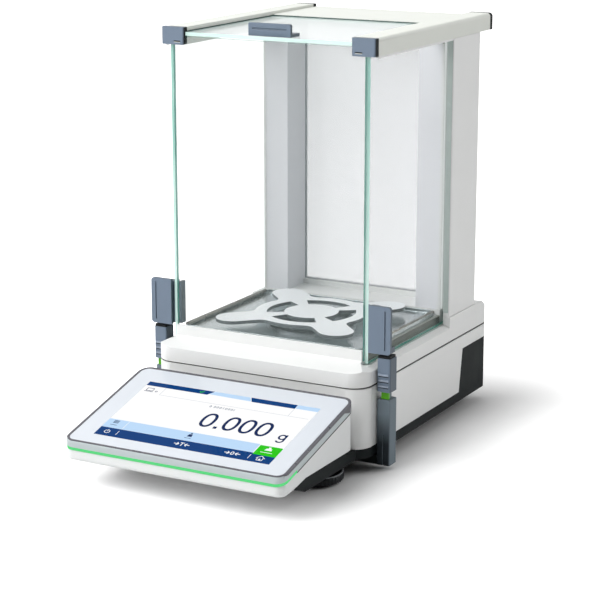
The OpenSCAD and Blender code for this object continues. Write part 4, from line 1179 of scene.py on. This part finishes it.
@dataclass
class DraftShield(SubAssembly):
    """Columns, rails, caps and the fixed panes."""

    edge: float = 0.5
    cap_face: float = 0.9
    cap_skin: float = 0.06
    cap_margin: float = 0.3
    slit_ends: Point = (3.0, 9.0)
    lip_width: float = 2.1
    lip_proud: float = 0.35
    lap: float = 0.2
    strip_width: float = 4.6
    strip_foot: float = 4.0
    guide_width: float = 4.0
    guide_proud: float = 1.4
    guide_height: float = 4.6
    liner: float = 0.25
    liner_margin: float = 0.4
    rail_lip: float = 1.5
    rail_lip_ends: Point = (1.7, 0.1)
    seal: float = 0.7
    seal_gap: float = 0.1
    body: str = "base"

    def dress(self) -> None:
        """Gives profiles and panes their finishes."""
        for side in Side:
            dress(f"{side.word}_column", COLUMN_PAINT, self.edge)
            dress(f"{side.word}_column_cover", WHITE_PAINT, 0.3)
            dress(f"{side.word}_rail", RAIL_PAINT, 0.4)
            dress(f"{side.word}_front_cap", SLATE_PLASTIC, 0.6, 3)
        dress("rail_end_caps", DARK_PLASTIC, 0.3)
        dress("rear_top_panel", RAIL_PAINT, 0.3)
        dress("rear_beam", RAIL_PAINT, 0.3)
        dress("rear_glass", REAR_PANE)
        dress("front_glass", FRONT_PANE)

    def build(self) -> None:
        """Adds liners, lips, guides and seals to the profiles."""
        for side in Side:
            self.build_cap_liners(side)
            self.build_cap_slit(side)
            self.build_column_trim(side)
            self.build_rail_lip(side)
        self.build_roof_seal()

    def build_cap_liners(self, side: Side) -> None:
        """Lines both sides of a front cap with dark plastic behind its face, as painted shade on the cap's
        sides.

        Args:
            side: The side that it is on.
        """
        low, high = span(f"{side.word}_front_cap")
        back = span(f"{side.word}_rail")[0].y
        outline = rounded(low.y + self.cap_face, back, low.z + self.cap_margin, high.z - self.cap_margin, 0.4)
        bm = bmesh.new()
        # Dark plates stand in for the shade on the cap's sides.
        for wall in (low.x - self.cap_skin, high.x):
            extrude(bm, outline, wall, wall + self.cap_skin, SIDEWAYS)
        add_piece(f"{side.word}_cap_liners", bm, DARK_PLASTIC, self.body)

    def build_cap_slit(self, side: Side) -> None:
        """Fills the slit of a front cap with a dark strip as painted shade, and lays a painted highlight line
        below it.

        Args:
            side: The side that it is on.
        """
        cap = f"{side.word}_front_cap"
        low = span(cap)[0]
        inner = side.reach(cap)[0]
        ends = side.ends(*(inner + end for end in self.slit_ends))
        # The slit's dark fill is painted shade; the pale line below it is a painted highlight.
        lines = (("slit", DARK_SEAM_AND_SHADE, 2.3, 3.1, -0.3), ("painted_highlight_line", RAIL_PAINT, 1.85, 2.2, 0.05))
        for word, finish, z0, z1, proud in lines:
            outline = rounded(*ends, low.z + z0, low.z + z1, 0.15)
            add_prism(f"{side.word}_cap_{word}", outline, (-low.y - 0.5, -low.y + proud), FRONTWAYS, finish,
                      self.body)

    def build_rail_lip(self, side: Side) -> None:
        """Hangs the thin lip under the outer edge of a rail.

        Args:
            side: The side that it is on.
        """
        rail = f"{side.word}_rail"
        low = span(rail)[0]
        outer = side.reach(rail)[1]
        ends = side.ends(*(outer - end for end in self.rail_lip_ends))
        outline = rounded(*ends, low.y, span(f"{side.word}_column_cover")[0].y, 0.3)
        reach = (low.z - self.rail_lip, low.z + 0.1)
        add_prism(f"{rail}_lip", outline, reach, UPRIGHT, WHITE_PAINT, self.body, 0.2)

    def build_column_trim(self, side: Side) -> None:
        """Adds the white lip, the green edge strip, the dark guide, and a glowing rib and outer liner to a
        column; their glow is painted light on its shaded outer side.

        Args:
            side: The side that it is on.
        """
        column, cover = f"{side.word}_column", f"{side.word}_column_cover"
        low, high = span(column)
        foot = span(cover)[0]
        outer, shell = side.reach(column)[1], side.reach(cover)[0]
        edge = outer + self.lap
        trims = (
            ("lip", WHITE_PAINT, outer - self.lip_width, edge, low.y, low.z),
            ("edge_strip", EDGE_GREEN, shell, shell + self.strip_width, foot.y, foot.z + self.strip_foot),
            ("guide", DARK_PLASTIC, outer - self.guide_width, edge, low.y - self.guide_proud,
             high.z - self.guide_height),
        )
        for word, finish, x0, x1, front, bottom in trims:
            outline = rounded(*side.ends(x0, x1), front - self.lip_proud, front + self.lap, 0.2)
            add_prism(f"{column}_{word}", outline, (bottom, high.z), UPRIGHT, finish, self.body)
        reach = (low.z + self.liner_margin, high.z - self.liner_margin)
        # Painted light: the rib and liner glow to lighten the shaded outer side.
        for word, finish, y0, y1 in (("rib", PAINTED_LIGHT_LIP, 0.3, 3.6), ("liner", PAINTED_LIGHT_LINER, 3.7, 24.0)):
            outline = rounded(*side.ends(outer, outer + self.liner), low.y + y0, low.y + y1, 0.1, 2)
            add_prism(f"{column}_{word}", outline, reach, UPRIGHT, finish, self.body)

    def build_roof_seal(self) -> None:
        """Runs a dark seal along the rails and the back panel, just above the top door; it is also painted
        shade of the gap between glass and rails.
        """
        bottom = span("top_door_glass")[1].z + self.seal_gap
        back = span("rear_top_panel")[0].y
        inner, front = span("left_rail")[1].x, span("left_rail")[0].y
        runs = ((inner, inner + self.seal, front, back), (-inner - self.seal, -inner, front, back),
                (inner, -inner, back - self.seal, back))
        bm = bmesh.new()
        for run in runs:
            extrude(bm, rounded(*run, 0.1, 2), bottom, bottom + self.seal, UPRIGHT)
        # Dark seal that also stands in as painted shade of the gap.
        add_piece("roof_seal", bm, GLASS_SEAL, self.body)


@dataclass
class Doors(SubAssembly):
    """Side doors and top door."""

    def dress(self) -> None:
        """Gives panes, handles and glides their finishes."""
        for side in Side:
            dress(f"{side.word}_door_glass", SIDE_PANE, 0.6, 1)
            dress(f"{side.word}_door_handle", SLATE_PLASTIC, 0.5, 3)
            dress(f"{side.word}_door_glides", GLIDE_PLASTIC)
        dress("top_door_glass", TOP_PANE)
        dress("top_door_handle", SLATE_PLASTIC, 0.5, 3)


@dataclass
class DoorYoke(SubAssembly):
    """Levers, couplers and the bar under the base."""

    ribs: int = 3
    rib_inset: float = 1.5
    rib_rise: float = 1.0
    rib_height: float = 1.6
    rib_pitch: float = 4.6
    first_rib: float = 4.0
    rib_bow: float = 1.25
    rib_swell: float = 0.15
    rib_root: float = 0.2
    rib_steps: int = 8
    line_proud: float = 0.1
    line_drops: Point = (0.85, 0.15)
    coupler_height: float = 27.4
    pad_height: float = 2.0
    pad_side: float = 0.5
    pad_end: float = 0.4

    def dress(self) -> None:
        """Gives the yoke its plastics."""
        dress("yoke_crossbar", DARK_PLASTIC, 0.4)
        dress("lever_flags", FLAG_GREEN, 0.6)
        for side in Side:
            dress(f"{side.word}_lever", LEVER_PLASTIC, 0.5, 3)
            dress(f"{side.word}_coupler", SLATE_PLASTIC, 0.4, 3)

    def build(self) -> None:
        """Adds the trim of both couplers."""
        for side in Side:
            self.build_coupler(f"{side.word}_coupler")

    def build_coupler(self, coupler: str) -> None:
        """Adds to a coupler the raised ribs in a lighter plastic as a painted highlight, the dark lines below
        them as painted shadow, and the dark top pad as painted shade.

        Args:
            coupler: The coupler's node, and its body of the same name.
        """
        low, high = span(coupler)
        x0, x1 = low.x + self.rib_inset, high.x - self.rib_inset
        face, half = low.y + self.rib_rise, self.rib_height / 2
        front, root = face - self.line_proud, face + self.rib_root
        turns = [math.pi * (step / self.rib_steps - 0.5) for step in range(self.rib_steps + 1)]
        bars, lines = bmesh.new(), bmesh.new()
        for k in range(self.ribs):
            foot = low.z + self.first_rib + self.rib_pitch * k
            bow = [(face - self.rib_bow * math.cos(t), foot + half + (half + self.rib_swell) * math.sin(t))
                   for t in turns]
            extrude(bars, [(root, bow[0][1]), *bow, (root, bow[-1][1])], x0, x1, SIDEWAYS)
            z0, z1 = (foot - drop for drop in self.line_drops)
            extrude(lines, [(front, z0), (front, z1), (root, z1), (root, z0)], x0, x1, SIDEWAYS)
        add_piece(f"{coupler}_ribs", bars, RIB_HIGHLIGHT_PLASTIC, coupler, edge=0.3)
        # Dark lines under the ribs: painted shadow.
        add_piece(f"{coupler}_lines", lines, DARK_SEAM_AND_SHADE, coupler)
        # Dark pad on top: painted shade of the gap under the handle.
        pad = rounded(low.x + self.pad_side, high.x - self.pad_side, face + self.pad_end,
                      high.y - self.pad_end, 0.8)
        top = low.z + self.coupler_height
        add_prism(f"{coupler}_pad", pad, (top, top + self.pad_height), UPRIGHT, BLACK_RUBBER, coupler, 0.3)


@dataclass
class PanAndTray(SubAssembly):
    """Weighing pan, its carrier and the tray."""

    bead: float = 1.7
    bead_drop: float = 0.6
    bead_end: float = 4.0
    bead_steps: int = 14
    body: str = "drip_tray"

    def dress(self) -> None:
        """Gives pan and tray their steel."""
        dress("weighing_pan", PAN_STEEL, 0.3, 3)
        dress("pan_carrier", CARRIER_METAL, 0.3)
        dress("drip_tray", TRAY_STEEL, 0.25)

    def build(self) -> None:
        """Rolls the side edges of the tray."""
        low, high = span("drip_tray")
        level = high.z - self.bead_drop
        turns = [2 * math.pi * k / self.bead_steps for k in range(self.bead_steps)]
        bm = bmesh.new()
        for middle in (low.x + self.bead, high.x - self.bead):
            loop = [(middle + self.bead * math.cos(t), level + self.bead * math.sin(t)) for t in turns]
            extrude(bm, loop, -high.y + self.bead_end, -low.y - self.bead_end, FRONTWAYS)
        add_piece("tray_beads", bm, BEAD_STEEL, self.body, smooth=True, edge=0.4)


@dataclass
class Feet(SubAssembly):
    """Levelling feet."""

    ribs: int = 44
    rib_half: float = 0.5
    rib_root: float = 0.3
    rib_tip: float = 0.35
    rib_clear: float = 0.8
    ring_width: float = 1.6
    ring_sink: float = 0.2
    ring_rise: float = 0.3
    ring_steps: int = 64

    def dress(self) -> None:
        """Gives the feet rubber and plastic."""
        for side in Side:
            dress(f"{side.word}_foot_screw", BLACK_RUBBER)
            dress(f"{side.word}_foot_wheel", WHEEL_PLASTIC, 0.3)

    def build(self) -> None:
        """Adds the trim of both wheels."""
        for side in Side:
            self.build_wheel(f"{side.word}_foot_wheel", f"{side.word}_wheel")

    def build_wheel(self, node: str, body: str) -> None:
        """Adds the grip ribs to a wheel, and a pale ring on its top edge as a painted highlight.

        Args:
            node: The wheel's node.
            body: The wheel's body.
        """
        low, high = span(node)
        middle, radius = (low + high) / 2, (high.x - low.x) / 2
        hub = millimetres(Vector((middle.x, middle.y, 0.0)) * MM, X_AXIS, Y_AXIS)
        inner, foot, crown = radius - self.ring_width, high.z - self.ring_sink, high.z + self.ring_rise
        ring, ribs = bmesh.new(), bmesh.new()
        lathe(ring, [(inner, foot), (radius - 0.1, foot), (radius + 0.1, high.z), (radius - 0.2, crown),
                     (inner, crown)], hub, self.ring_steps)
        tooth = rounded(radius - self.rib_root, radius + self.rib_tip, -self.rib_half, self.rib_half, 0.2, 2)
        for k in range(self.ribs):
            turn = Matrix.Rotation(2 * math.pi * k / self.ribs, 4, "Z")
            extrude(ribs, tooth, low.z + self.rib_clear, high.z - self.rib_clear, hub @ turn)
        # The pale ring is a painted highlight on the wheel's edge.
        add_piece(f"{body}_ring", ring, WHEEL_EDGE_HIGHLIGHT, body, smooth=True)
        add_piece(f"{body}_ribs", ribs, WHEEL_PLASTIC, body)


@dataclass
class ScreenCanvas:
    """Flat patches of light on the touch glass, placed in millimetres from the screen's lower middle."""

    tilt: float = math.radians(14.2)
    half_width: float = 77.7
    height: float = 86.0
    back_margin: float = 16.9
    squeeze: float = 0.979
    lift: float = 0.03
    layer: float = 0.035
    fill: float = 0.8
    ring_steps: int = 40
    body: str = "base"
    inks: dict[str, tuple[Finish, bmesh.types.BMesh]] = field(default_factory=dict)

    def __post_init__(self) -> None:
        """Finds the plane of the touch glass in the frame."""
        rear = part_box("touch_glass")[1]
        up = Vector((0.0, math.cos(self.tilt), math.sin(self.tilt)))
        foot = Vector((0.0, rear[1], rear[2])) - up * (self.back_margin + self.height) * MM
        squeeze = Matrix.Diagonal((1.0, self.squeeze, 1.0, 1.0))
        self.plane = millimetres(foot, X_AXIS, up) @ squeeze

    def ink(self, finish: Finish) -> bmesh.types.BMesh:
        """Gives the mesh that holds all patches of one finish.

        Args:
            finish: The finish.

        Returns:
            The mesh.
        """
        if finish.name not in self.inks:
            self.inks[finish.name] = (finish, bmesh.new())
        return self.inks[finish.name][1]

    def levels(self, layer: int) -> Point:
        """Gives the heights over the glass between which a layer lies."""
        base = self.lift + self.layer * (layer - 1)
        return base, base + self.layer * self.fill

    def patch(self, finish: Finish, points: Sequence[Point], layer: int) -> None:
        """Adds a flat patch in a layer above the glass."""
        extrude(self.ink(finish), points, *self.levels(layer), self.plane)

    def bar(self, finish: Finish, x0: float, x1: float, h0: float, h1: float, layer: int) -> None:
        """Adds an upright rectangle."""
        self.patch(finish, [(x0, h0), (x1, h0), (x1, h1), (x0, h1)], layer)

    def ring(self, finish: Finish, cx: float, ch: float, rx: float, rh: float, stroke: float,
             layer: int = 3, start: float = 0.0, sweep: float = 360.0, power: float = 2.0) -> None:
        """Adds a ring, or part of one.

        Args:
            finish: Its light.
            cx: Middle across.
            ch: Middle up.
            rx: Outer radius across.
            rh: Outer radius up.
            stroke: Width of the line.
            layer: Layer above the glass.
            start: Start angle in degrees.
            sweep: Angle that it covers in degrees.
            power: 2 for an ellipse, more for a squarer ring.
        """
        closed = sweep >= 360
        points = self.ring_steps if closed else self.ring_steps + 1
        turns = [math.radians(start + sweep * k / self.ring_steps) for k in range(points)]

        def loop(ax: float, ah: float) -> list[Point]:
            """Draws one edge of the ring.

            Args:
                ax: Its radius across.
                ah: Its radius up.

            Returns:
                Its points.
            """
            def bow(value: float) -> float:
                """Bends an ellipse towards a square."""
                return math.copysign(abs(value) ** (2 / power), value)
            return [(cx + ax * bow(math.cos(t)), ch + ah * bow(math.sin(t))) for t in turns]

        band(self.ink(finish), loop(rx, rh), loop(rx - stroke, rh - stroke), *self.levels(layer), self.plane,
             closed)

    def line(self, finish: Finish, points: Sequence[Point], stroke: float, layer: int = 3) -> None:
        """Adds a line of straight strokes.

        Args:
            finish: Its light.
            points: Its corners.
            stroke: Its width.
            layer: Layer above the glass.
        """
        for (x0, h0), (x1, h1) in zip(points, points[1:]):
            length = math.hypot(x1 - x0, h1 - h0)
            nx, nh = -(h1 - h0) / length * stroke / 2, (x1 - x0) / length * stroke / 2
            corners = [(x0 - nx, h0 - nh), (x1 - nx, h1 - nh), (x1 + nx, h1 + nh), (x0 + nx, h0 + nh)]
            self.patch(finish, corners, layer)

    def flush(self) -> None:
        """Turns each ink into a piece."""
        for name, (finish, bm) in self.inks.items():
            add_piece(name, bm, finish, self.body)


@dataclass
class Terminal(SubAssembly):
    """Tilted terminal with its screen."""

    digit_width: float = 12.4
    digit_height: float = 20.7
    digit_stroke: float = 2.6
    digit_foot: float = 34.4
    digit_power: float = 2.3
    unit_stroke: float = 1.6
    note_foot: float = 63.0
    note_width: float = 1.9
    note_height: float = 2.7
    note_stroke: float = 0.5
    header_foot: float = 80.0
    strip_foot: float = 12.0
    strip_top: float = 24.6
    bar_top: float = 11.9
    key_foot: float = 10.2
    key_top: float = 23.6
    arrow_height: float = 6.3
    arrow_reach: float = 4.2
    arrow_head: float = 1.8
    arrow_stroke: float = 0.8
    front_r: float = 8.0
    back_r: float = 9.0
    side_start: int = 4
    corner_leads: Point = (9.0, 4.0)
    skin: float = 0.06
    rim_rise: float = 0.12
    rim_depth: float = 0.9
    rim_front_drops: Triple = (0.6, 1.3, 2.0)
    rim_corner_drop: float = 4.8
    rim_drop: float = 2.3
    rim_back_drop: float = 6.4
    seam_drop: float = 7.2
    seam_height: float = 0.75
    seam_depth: float = 0.6
    canvas: ScreenCanvas = field(default_factory=ScreenCanvas)

    def dress(self) -> None:
        """Gives case, frame, rim and glass their finishes."""
        dress("terminal_case", CASE_PAINT, 0.8, 3)
        dress("terminal_frame", SILVER_FRAME, 0.4)
        dress("terminal_rim", SMOKED_RIM, 0.25)
        dress("touch_glass", BEZEL_GLASS)
        dress("display_module", DISPLAY_BLACK)
        dress("terminal_board", BOARD_GREEN)
        dress("light_guide", LIGHT_LINE)

    def build(self) -> None:
        """Wraps the rim, lays the seam and draws the screen."""
        self.build_rim_sides()
        self.build_frame_seam()
        self.draw_fields()
        self.draw_reading()
        self.draw_command_bar()
        self.draw_strip()
        self.draw_header()
        self.canvas.flush()

    def glass_height(self, y: float) -> float:
        """Gives the height of the glass's plane, in millimetres, at a place along the depth."""
        rear = span("touch_glass")[1]
        return rear.z + (y - rear.y) * math.tan(self.canvas.tilt)

    def side_points(self, inset: float) -> list[Point]:
        """Draws the terminal's sides and back, with two more points before each back corner.

        Args:
            inset: How far the outline is drawn in.

        Returns:
            The outline in millimetres.
        """
        plan = plan_of("terminal_frame", inset, self.front_r, self.back_r)[self.side_start:-self.side_start]
        (x, y), mirrored = plan[3], plan[-4]
        extra = [(x, y - lead) for lead in self.corner_leads]
        return plan[:3] + extra + plan[3:-3] + [(mirrored[0], h) for _, h in reversed(extra)] + plan[-3:]

    def build_rim_sides(self) -> None:
        """Wraps the dark rim down the sides, and further down at the back."""
        outer, inner = self.side_points(-self.skin), self.side_points(self.rim_depth)
        rise = [*self.rim_front_drops, self.rim_drop, self.rim_corner_drop]
        drops = rise + [self.rim_back_drop] * (len(outer) - 2 * len(rise)) + rise[::-1]
        tops = [self.glass_height(y) + self.rim_rise for _, y in outer]
        bm = bmesh.new()
        ribbon(bm, outer, inner, [top - drop for top, drop in zip(tops, drops)], tops, UPRIGHT, False)
        add_piece("rim_sides", bm, SMOKED_RIM, self.canvas.body)

    def build_frame_seam(self) -> None:
        """Lays the dark seam between the silver frame and the white case behind the light line."""
        start = span("light_guide")[1].y
        outer, inner = ([(x, max(y, start)) for x, y in self.side_points(inset)[2:-2]]
                        for inset in (-self.skin, self.seam_depth))
        tops = [self.glass_height(y) - self.seam_drop for _, y in outer]
        bm = bmesh.new()
        ribbon(bm, outer, inner, [top - self.seam_height for top in tops], tops, UPRIGHT, False)
        add_piece("frame_seam", bm, DARK_SEAM_AND_SHADE, self.canvas.body)

    def draw_fields(self) -> None:
        """Lays out the bars, strips and dividers."""
        c = self.canvas
        w, h, header = c.half_width, c.height, self.header_foot
        c.bar(SCREEN_WHITE, -w, w, 0.0, h, 1)
        c.patch(SCREEN_NAVY, [(-w, header), (-21.0, header), (-17.0, h), (-w, h)], 2)
        c.patch(SCREEN_SKY, [(-20.0, 81.2), (19.0, 80.4), (15.6, h), (-16.6, h)], 2)
        c.patch(SCREEN_NAVY, [(19.6, header), (57.8, header), (57.8, h), (16.2, h)], 2)
        fields = (
            (SCREEN_SKY, 58.0, w, 80.6, h, 2),
            (SCREEN_GREY, -59.0, -58.6, 69.0, header, 2),
            (SCREEN_GREY, -58.8, w - 2.0, 68.4, 68.8, 2),
            (SCREEN_GREY, 57.6, 58.0, 68.8, header, 2),
            (SCREEN_SKY, -w, 57.4, self.strip_foot, self.strip_top, 2),
            (SCREEN_WHITE, -59.4, -59.0, 13.0, 24.0, 3),
            (SCREEN_NAVY, -w, w, 0.0, self.bar_top, 2),
            (SCREEN_GREEN, 58.2, w, self.key_foot, self.key_top, 3),
        )
        for finish, *place in fields:
            c.bar(finish, *place)

    def zero(self, finish: Finish, x: float, foot: float, width: float, height: float, stroke: float) -> None:
        """Draws a nought from its left edge."""
        rx, rh = width / 2, height / 2
        self.canvas.ring(finish, x + rx, foot + rh, rx, rh, stroke, power=self.digit_power)

    def draw_reading(self) -> None:
        """Draws the large reading, its unit and the small note above it."""
        c = self.canvas
        for x in (-5.4, 14.9, 29.2, 43.6):
            self.zero(SCREEN_INK, x, self.digit_foot, self.digit_width, self.digit_height, self.digit_stroke)
        c.bar(SCREEN_INK, 9.4, 12.5, self.digit_foot, self.digit_foot + 3.2, 3)
        c.ring(SCREEN_INK, 69.0, 38.4, 3.5, 3.8, self.unit_stroke)
        c.line(SCREEN_INK, [(71.8, 42.2), (71.8, 33.4)], self.unit_stroke)
        c.ring(SCREEN_INK, 69.0, 33.6, 3.6, 3.5, self.unit_stroke, start=200.0, sweep=160.0)
        note = self.note_foot
        for x in (-9.6, -5.8, -3.2, -0.6, 4.4, 7.0, 9.6):
            self.zero(SCREEN_NOTE, x, note, self.note_width, self.note_height, self.note_stroke)
        for x in (2.9, 12.6):
            c.line(SCREEN_NOTE, [(x, note), (x, note + self.note_height)], self.note_stroke)

    def draw_command_bar(self) -> None:
        """Draws the symbols of the lowest bar: power, tare, zero and home."""
        c, ink, level = self.canvas, SCREEN_PAPER, self.arrow_height
        c.ring(ink, -69.0, 6.2, 2.5, 2.5, 0.6, start=120.0, sweep=300.0)
        c.line(ink, [(-69.0, 6.4), (-69.0, 9.4)], 0.6)
        for x in (-59.6, 57.6):
            c.line(ink, [(x, 3.4), (x, 9.2)], 0.5)
        for middle in (-1.4, 43.0):
            for way in (-1, 1):
                tip = middle + way * 2.6
                barb = tip + way * self.arrow_head
                c.line(ink, [(tip + way * self.arrow_reach, level), (tip, level)], self.arrow_stroke)
                c.line(ink, [(barb, level + self.arrow_head), (tip, level), (barb, level - self.arrow_head)],
                       self.arrow_stroke)
        c.line(ink, [(-1.4, 4.2), (-1.4, 8.6)], self.arrow_stroke)
        c.line(ink, [(-3.2, 8.4), (0.4, 8.4)], self.arrow_stroke)
        self.zero(ink, 41.5, 4.2, 3.0, 4.4, 0.75)
        c.line(ink, [(63.6, 6.2), (67.2, 9.2), (70.8, 6.2)], 0.6)
        c.line(ink, [(64.9, 6.4), (64.9, 3.2), (69.5, 3.2), (69.5, 6.4)], 0.6)
        c.bar(ink, 66.5, 67.9, 3.2, 5.4, 3)

    def draw_strip(self) -> None:
        """Draws the list and the weight on the pale strip, and the weight on the green key."""
        c = self.canvas
        for row in range(3):
            c.bar(SCREEN_INK, -72.0, -67.2, 19.2 + 1.5 * row, 20.0 + 1.5 * row, 3)
        c.bar(SCREEN_INK, -72.6, -66.6, 16.2, 16.7, 3)
        c.patch(SCREEN_INK, [(-3.8, 18.0), (0.4, 18.0), (-0.2, 21.4), (-3.2, 21.4)], 3)
        c.bar(SCREEN_INK, -2.5, -0.9, 21.8, 23.4, 3)
        c.bar(SCREEN_INK, -4.6, 1.2, 15.6, 16.1, 3)
        c.patch(SCREEN_PAPER, [(64.6, 17.4), (70.6, 17.4), (69.8, 20.2), (65.4, 20.2)], 4)
        c.bar(SCREEN_PAPER, 66.6, 68.6, 20.2, 22.2, 4)
        c.bar(SCREEN_PAPER, 62.6, 72.6, 14.2, 14.8, 4)

    def draw_header(self) -> None:
        """Draws the symbols above the reading."""
        c = self.canvas
        box = [(-73.6, 72.6), (-67.6, 72.6), (-67.6, 76.4), (-73.6, 76.4), (-73.6, 72.6)]
        c.line(SCREEN_INK, box, 0.6)
        c.line(SCREEN_INK, [(-74.6, 71.4), (-66.6, 71.4)], 0.6)
        c.ring(SCREEN_INK, -64.0, 72.6, 1.1, 1.1, 0.45)
        c.line(SCREEN_GREEN, [(-29.0, 83.0), (-27.6, 81.8), (-25.4, 84.4)], 0.9)


@dataclass
class Studio:
    """Floor, soft lights, pale surround and camera."""

    place: Triple = (0.7459, -1.3579, 0.5088)
    yaw: float = 28.47
    pitch: float = 14.1
    lens: float = 116.77
    sensor: float = 36.0
    aim: Triple = (0.0, 0.0, 0.15)
    ambient: float = 0.58
    dim_way: Triple = (0.57, -0.82, 0.0)
    dim_span: Point = (-0.1, 0.65)
    dimmest: float = 0.04
    floor_size: float = 6.0
    floor_drop: float = 0.0002
    footprint: Triple = (0.099, 0.142, 0.0)
    footprint_middle: Triple = (0.0, 0.045, 0.0)
    shadow_reach: float = 0.190
    lamps: tuple[tuple[str, Triple, float, float], ...] = (
        ("key", (-2.0, -0.9, 1.9), 1.8, 30.0),
        ("front", (-1.0, -2.0, 2.2), 1.8, 41.0),
        ("near", (-0.35, -1.0, 0.95), 0.7, 4.3),
        ("top", (-0.2, -0.2, 2.8), 1.6, 10.5),
        ("side", (2.0, 1.6, 1.5), 1.6, 19.0),
    )

    def build(self) -> None:
        """Sets up the whole studio."""
        scene = bpy.context.scene
        scene.view_settings.view_transform = "Standard"
        self.build_camera(scene)
        self.build_world(scene)
        self.build_floor(scene)
        for name, place, size, power in self.lamps:
            self.add_softbox(name, place, size, power)

    def build_camera(self, scene: bpy.types.Scene) -> None:
        """Places the camera where the photographer stood.

        Args:
            scene: The scene that it belongs to.
        """
        lens = bpy.data.cameras.new("camera")
        lens.sensor_width = self.sensor
        lens.lens = self.lens
        camera = bpy.data.objects.new("camera", lens)
        camera.location = self.place
        camera.rotation_euler = (math.radians(90 - self.pitch), 0.0, math.radians(self.yaw))
        scene.collection.objects.link(camera)
        scene.camera = camera

    def seen(self, wiring: Wiring) -> bpy.types.NodeSocket:
        """Gives 1 on rays that show the surround itself, straight or through glass."""
        path = wiring.add("LightPath").outputs
        return wiring.calc("MAXIMUM", path["Is Camera Ray"], path["Is Transmission Ray"])

    def build_world(self, scene: bpy.types.Scene) -> None:
        """Makes the surround white to look at; as light it is softer, and dim towards one corner.

        Args:
            scene: The scene that it belongs to.
        """
        world = bpy.data.worlds.new("surround")
        world.use_nodes = True
        scene.world = world
        wiring = Wiring(world.node_tree)
        world.node_tree.nodes.clear()
        back = wiring.add("Background")
        wiring.put(back.inputs["Color"], (1.0, 1.0, 1.0))
        towards = wiring.dot(wiring.add("TexCoord").outputs["Generated"], self.dim_way)
        room = wiring.spread(towards, *self.dim_span, 1.0, self.dimmest)
        mirrored = wiring.add("LightPath").outputs["Is Glossy Ray"]
        light = wiring.calc("MULTIPLY", room, wiring.spread(mirrored, 0.0, 1.0, self.ambient, 1.0))
        wiring.put(back.inputs["Strength"], wiring.spread(self.seen(wiring), 0.0, 1.0, light, 1.0))
        wiring.put(wiring.add("OutputWorld").inputs["Surface"], back.outputs[0])

    def outside(self, wiring: Wiring) -> bpy.types.NodeSocket:
        """Gives how far a place on the floor lies outside the footprint of the balance.

        Args:
            wiring: The floor's wiring.

        Returns:
            The distance in metres.
        """
        place = wiring.place()
        steps = (("SUBTRACT", self.footprint_middle), ("ABSOLUTE", (0.0, 0.0, 0.0)),
                 ("SUBTRACT", self.footprint), ("MAXIMUM", (0.0, 0.0, 0.0)))
        for operation, other in steps:
            place = wiring.vector(operation, place, other).outputs[0]
        return wiring.vector("LENGTH", place).outputs["Value"]

    def build_floor(self, scene: bpy.types.Scene) -> None:
        """Lays a pale floor that keeps the shadow; a glow, seen straight or through glass, grows away from
        the balance's footprint and paints the shadow's reach and fade.

        Args:
            scene: The scene that it belongs to.
        """
        bm = bmesh.new()
        bmesh.ops.create_grid(bm, x_segments=8, y_segments=8, size=self.floor_size)
        mesh = bpy.data.meshes.new("floor")
        bm.to_mesh(mesh)
        bm.free()
        floor = bpy.data.objects.new("floor", mesh)
        floor.location = (0.0, 0.0, -self.floor_drop)
        scene.collection.objects.link(floor)
        paper = bpy.data.materials.new("floor_paper")
        paper.use_nodes = True
        wiring = Wiring(paper.node_tree)
        shader = paper.node_tree.nodes["Principled BSDF"]
        pale = wiring.blend(wiring.noise(30.0), srgb(240, 240, 240), srgb(243, 243, 243))
        wiring.put(shader.inputs["Base Color"], pale)
        wiring.put(shader.inputs["Roughness"], 0.9)
        wiring.put(shader.inputs["Specular IOR Level"], 0.1)
        wiring.put(shader.inputs["Emission Color"], (1.0, 1.0, 1.0))
        # Painted shadow: the glow is nil at the footprint and full at the shadow's reach.
        lift = wiring.spread(self.outside(wiring), 0.0, self.shadow_reach)
        wiring.put(shader.inputs["Emission Strength"], wiring.calc("MULTIPLY", self.seen(wiring), lift))
        mesh.materials.append(paper)

    def add_softbox(self, name: str, place: Triple, size: float, power: float) -> None:
        """Adds a square soft light that faces the balance.

        Args:
            name: The lamp's name.
            place: Where it stands.
            size: Length of its side.
            power: Its power in watts.
        """
        lamp = bpy.data.lights.new(name, "AREA")
        lamp.size = size
        lamp.energy = power
        shape = bpy.data.objects.new(name, lamp)
        shape.location = place
        way = Vector(self.aim) - Vector(place)
        shape.rotation_euler = way.to_track_quat("-Z", "Y").to_euler()
        bpy.context.scene.collection.objects.link(shape)


def main() -> None:
    """Builds and dresses every sub-assembly in order."""
    logging.basicConfig(level=logging.INFO, format="%(name)s: %(message)s")
    Studio().build()
    groups: tuple[SubAssembly, ...] = (BaseHousing(), WeighingWorks(), DraftShield(), Doors(), DoorYoke(),
                                       PanAndTray(), Feet(), Terminal())
    for group in groups:
        group.dress()
        group.build()


if __name__ == "__main__":
    main()
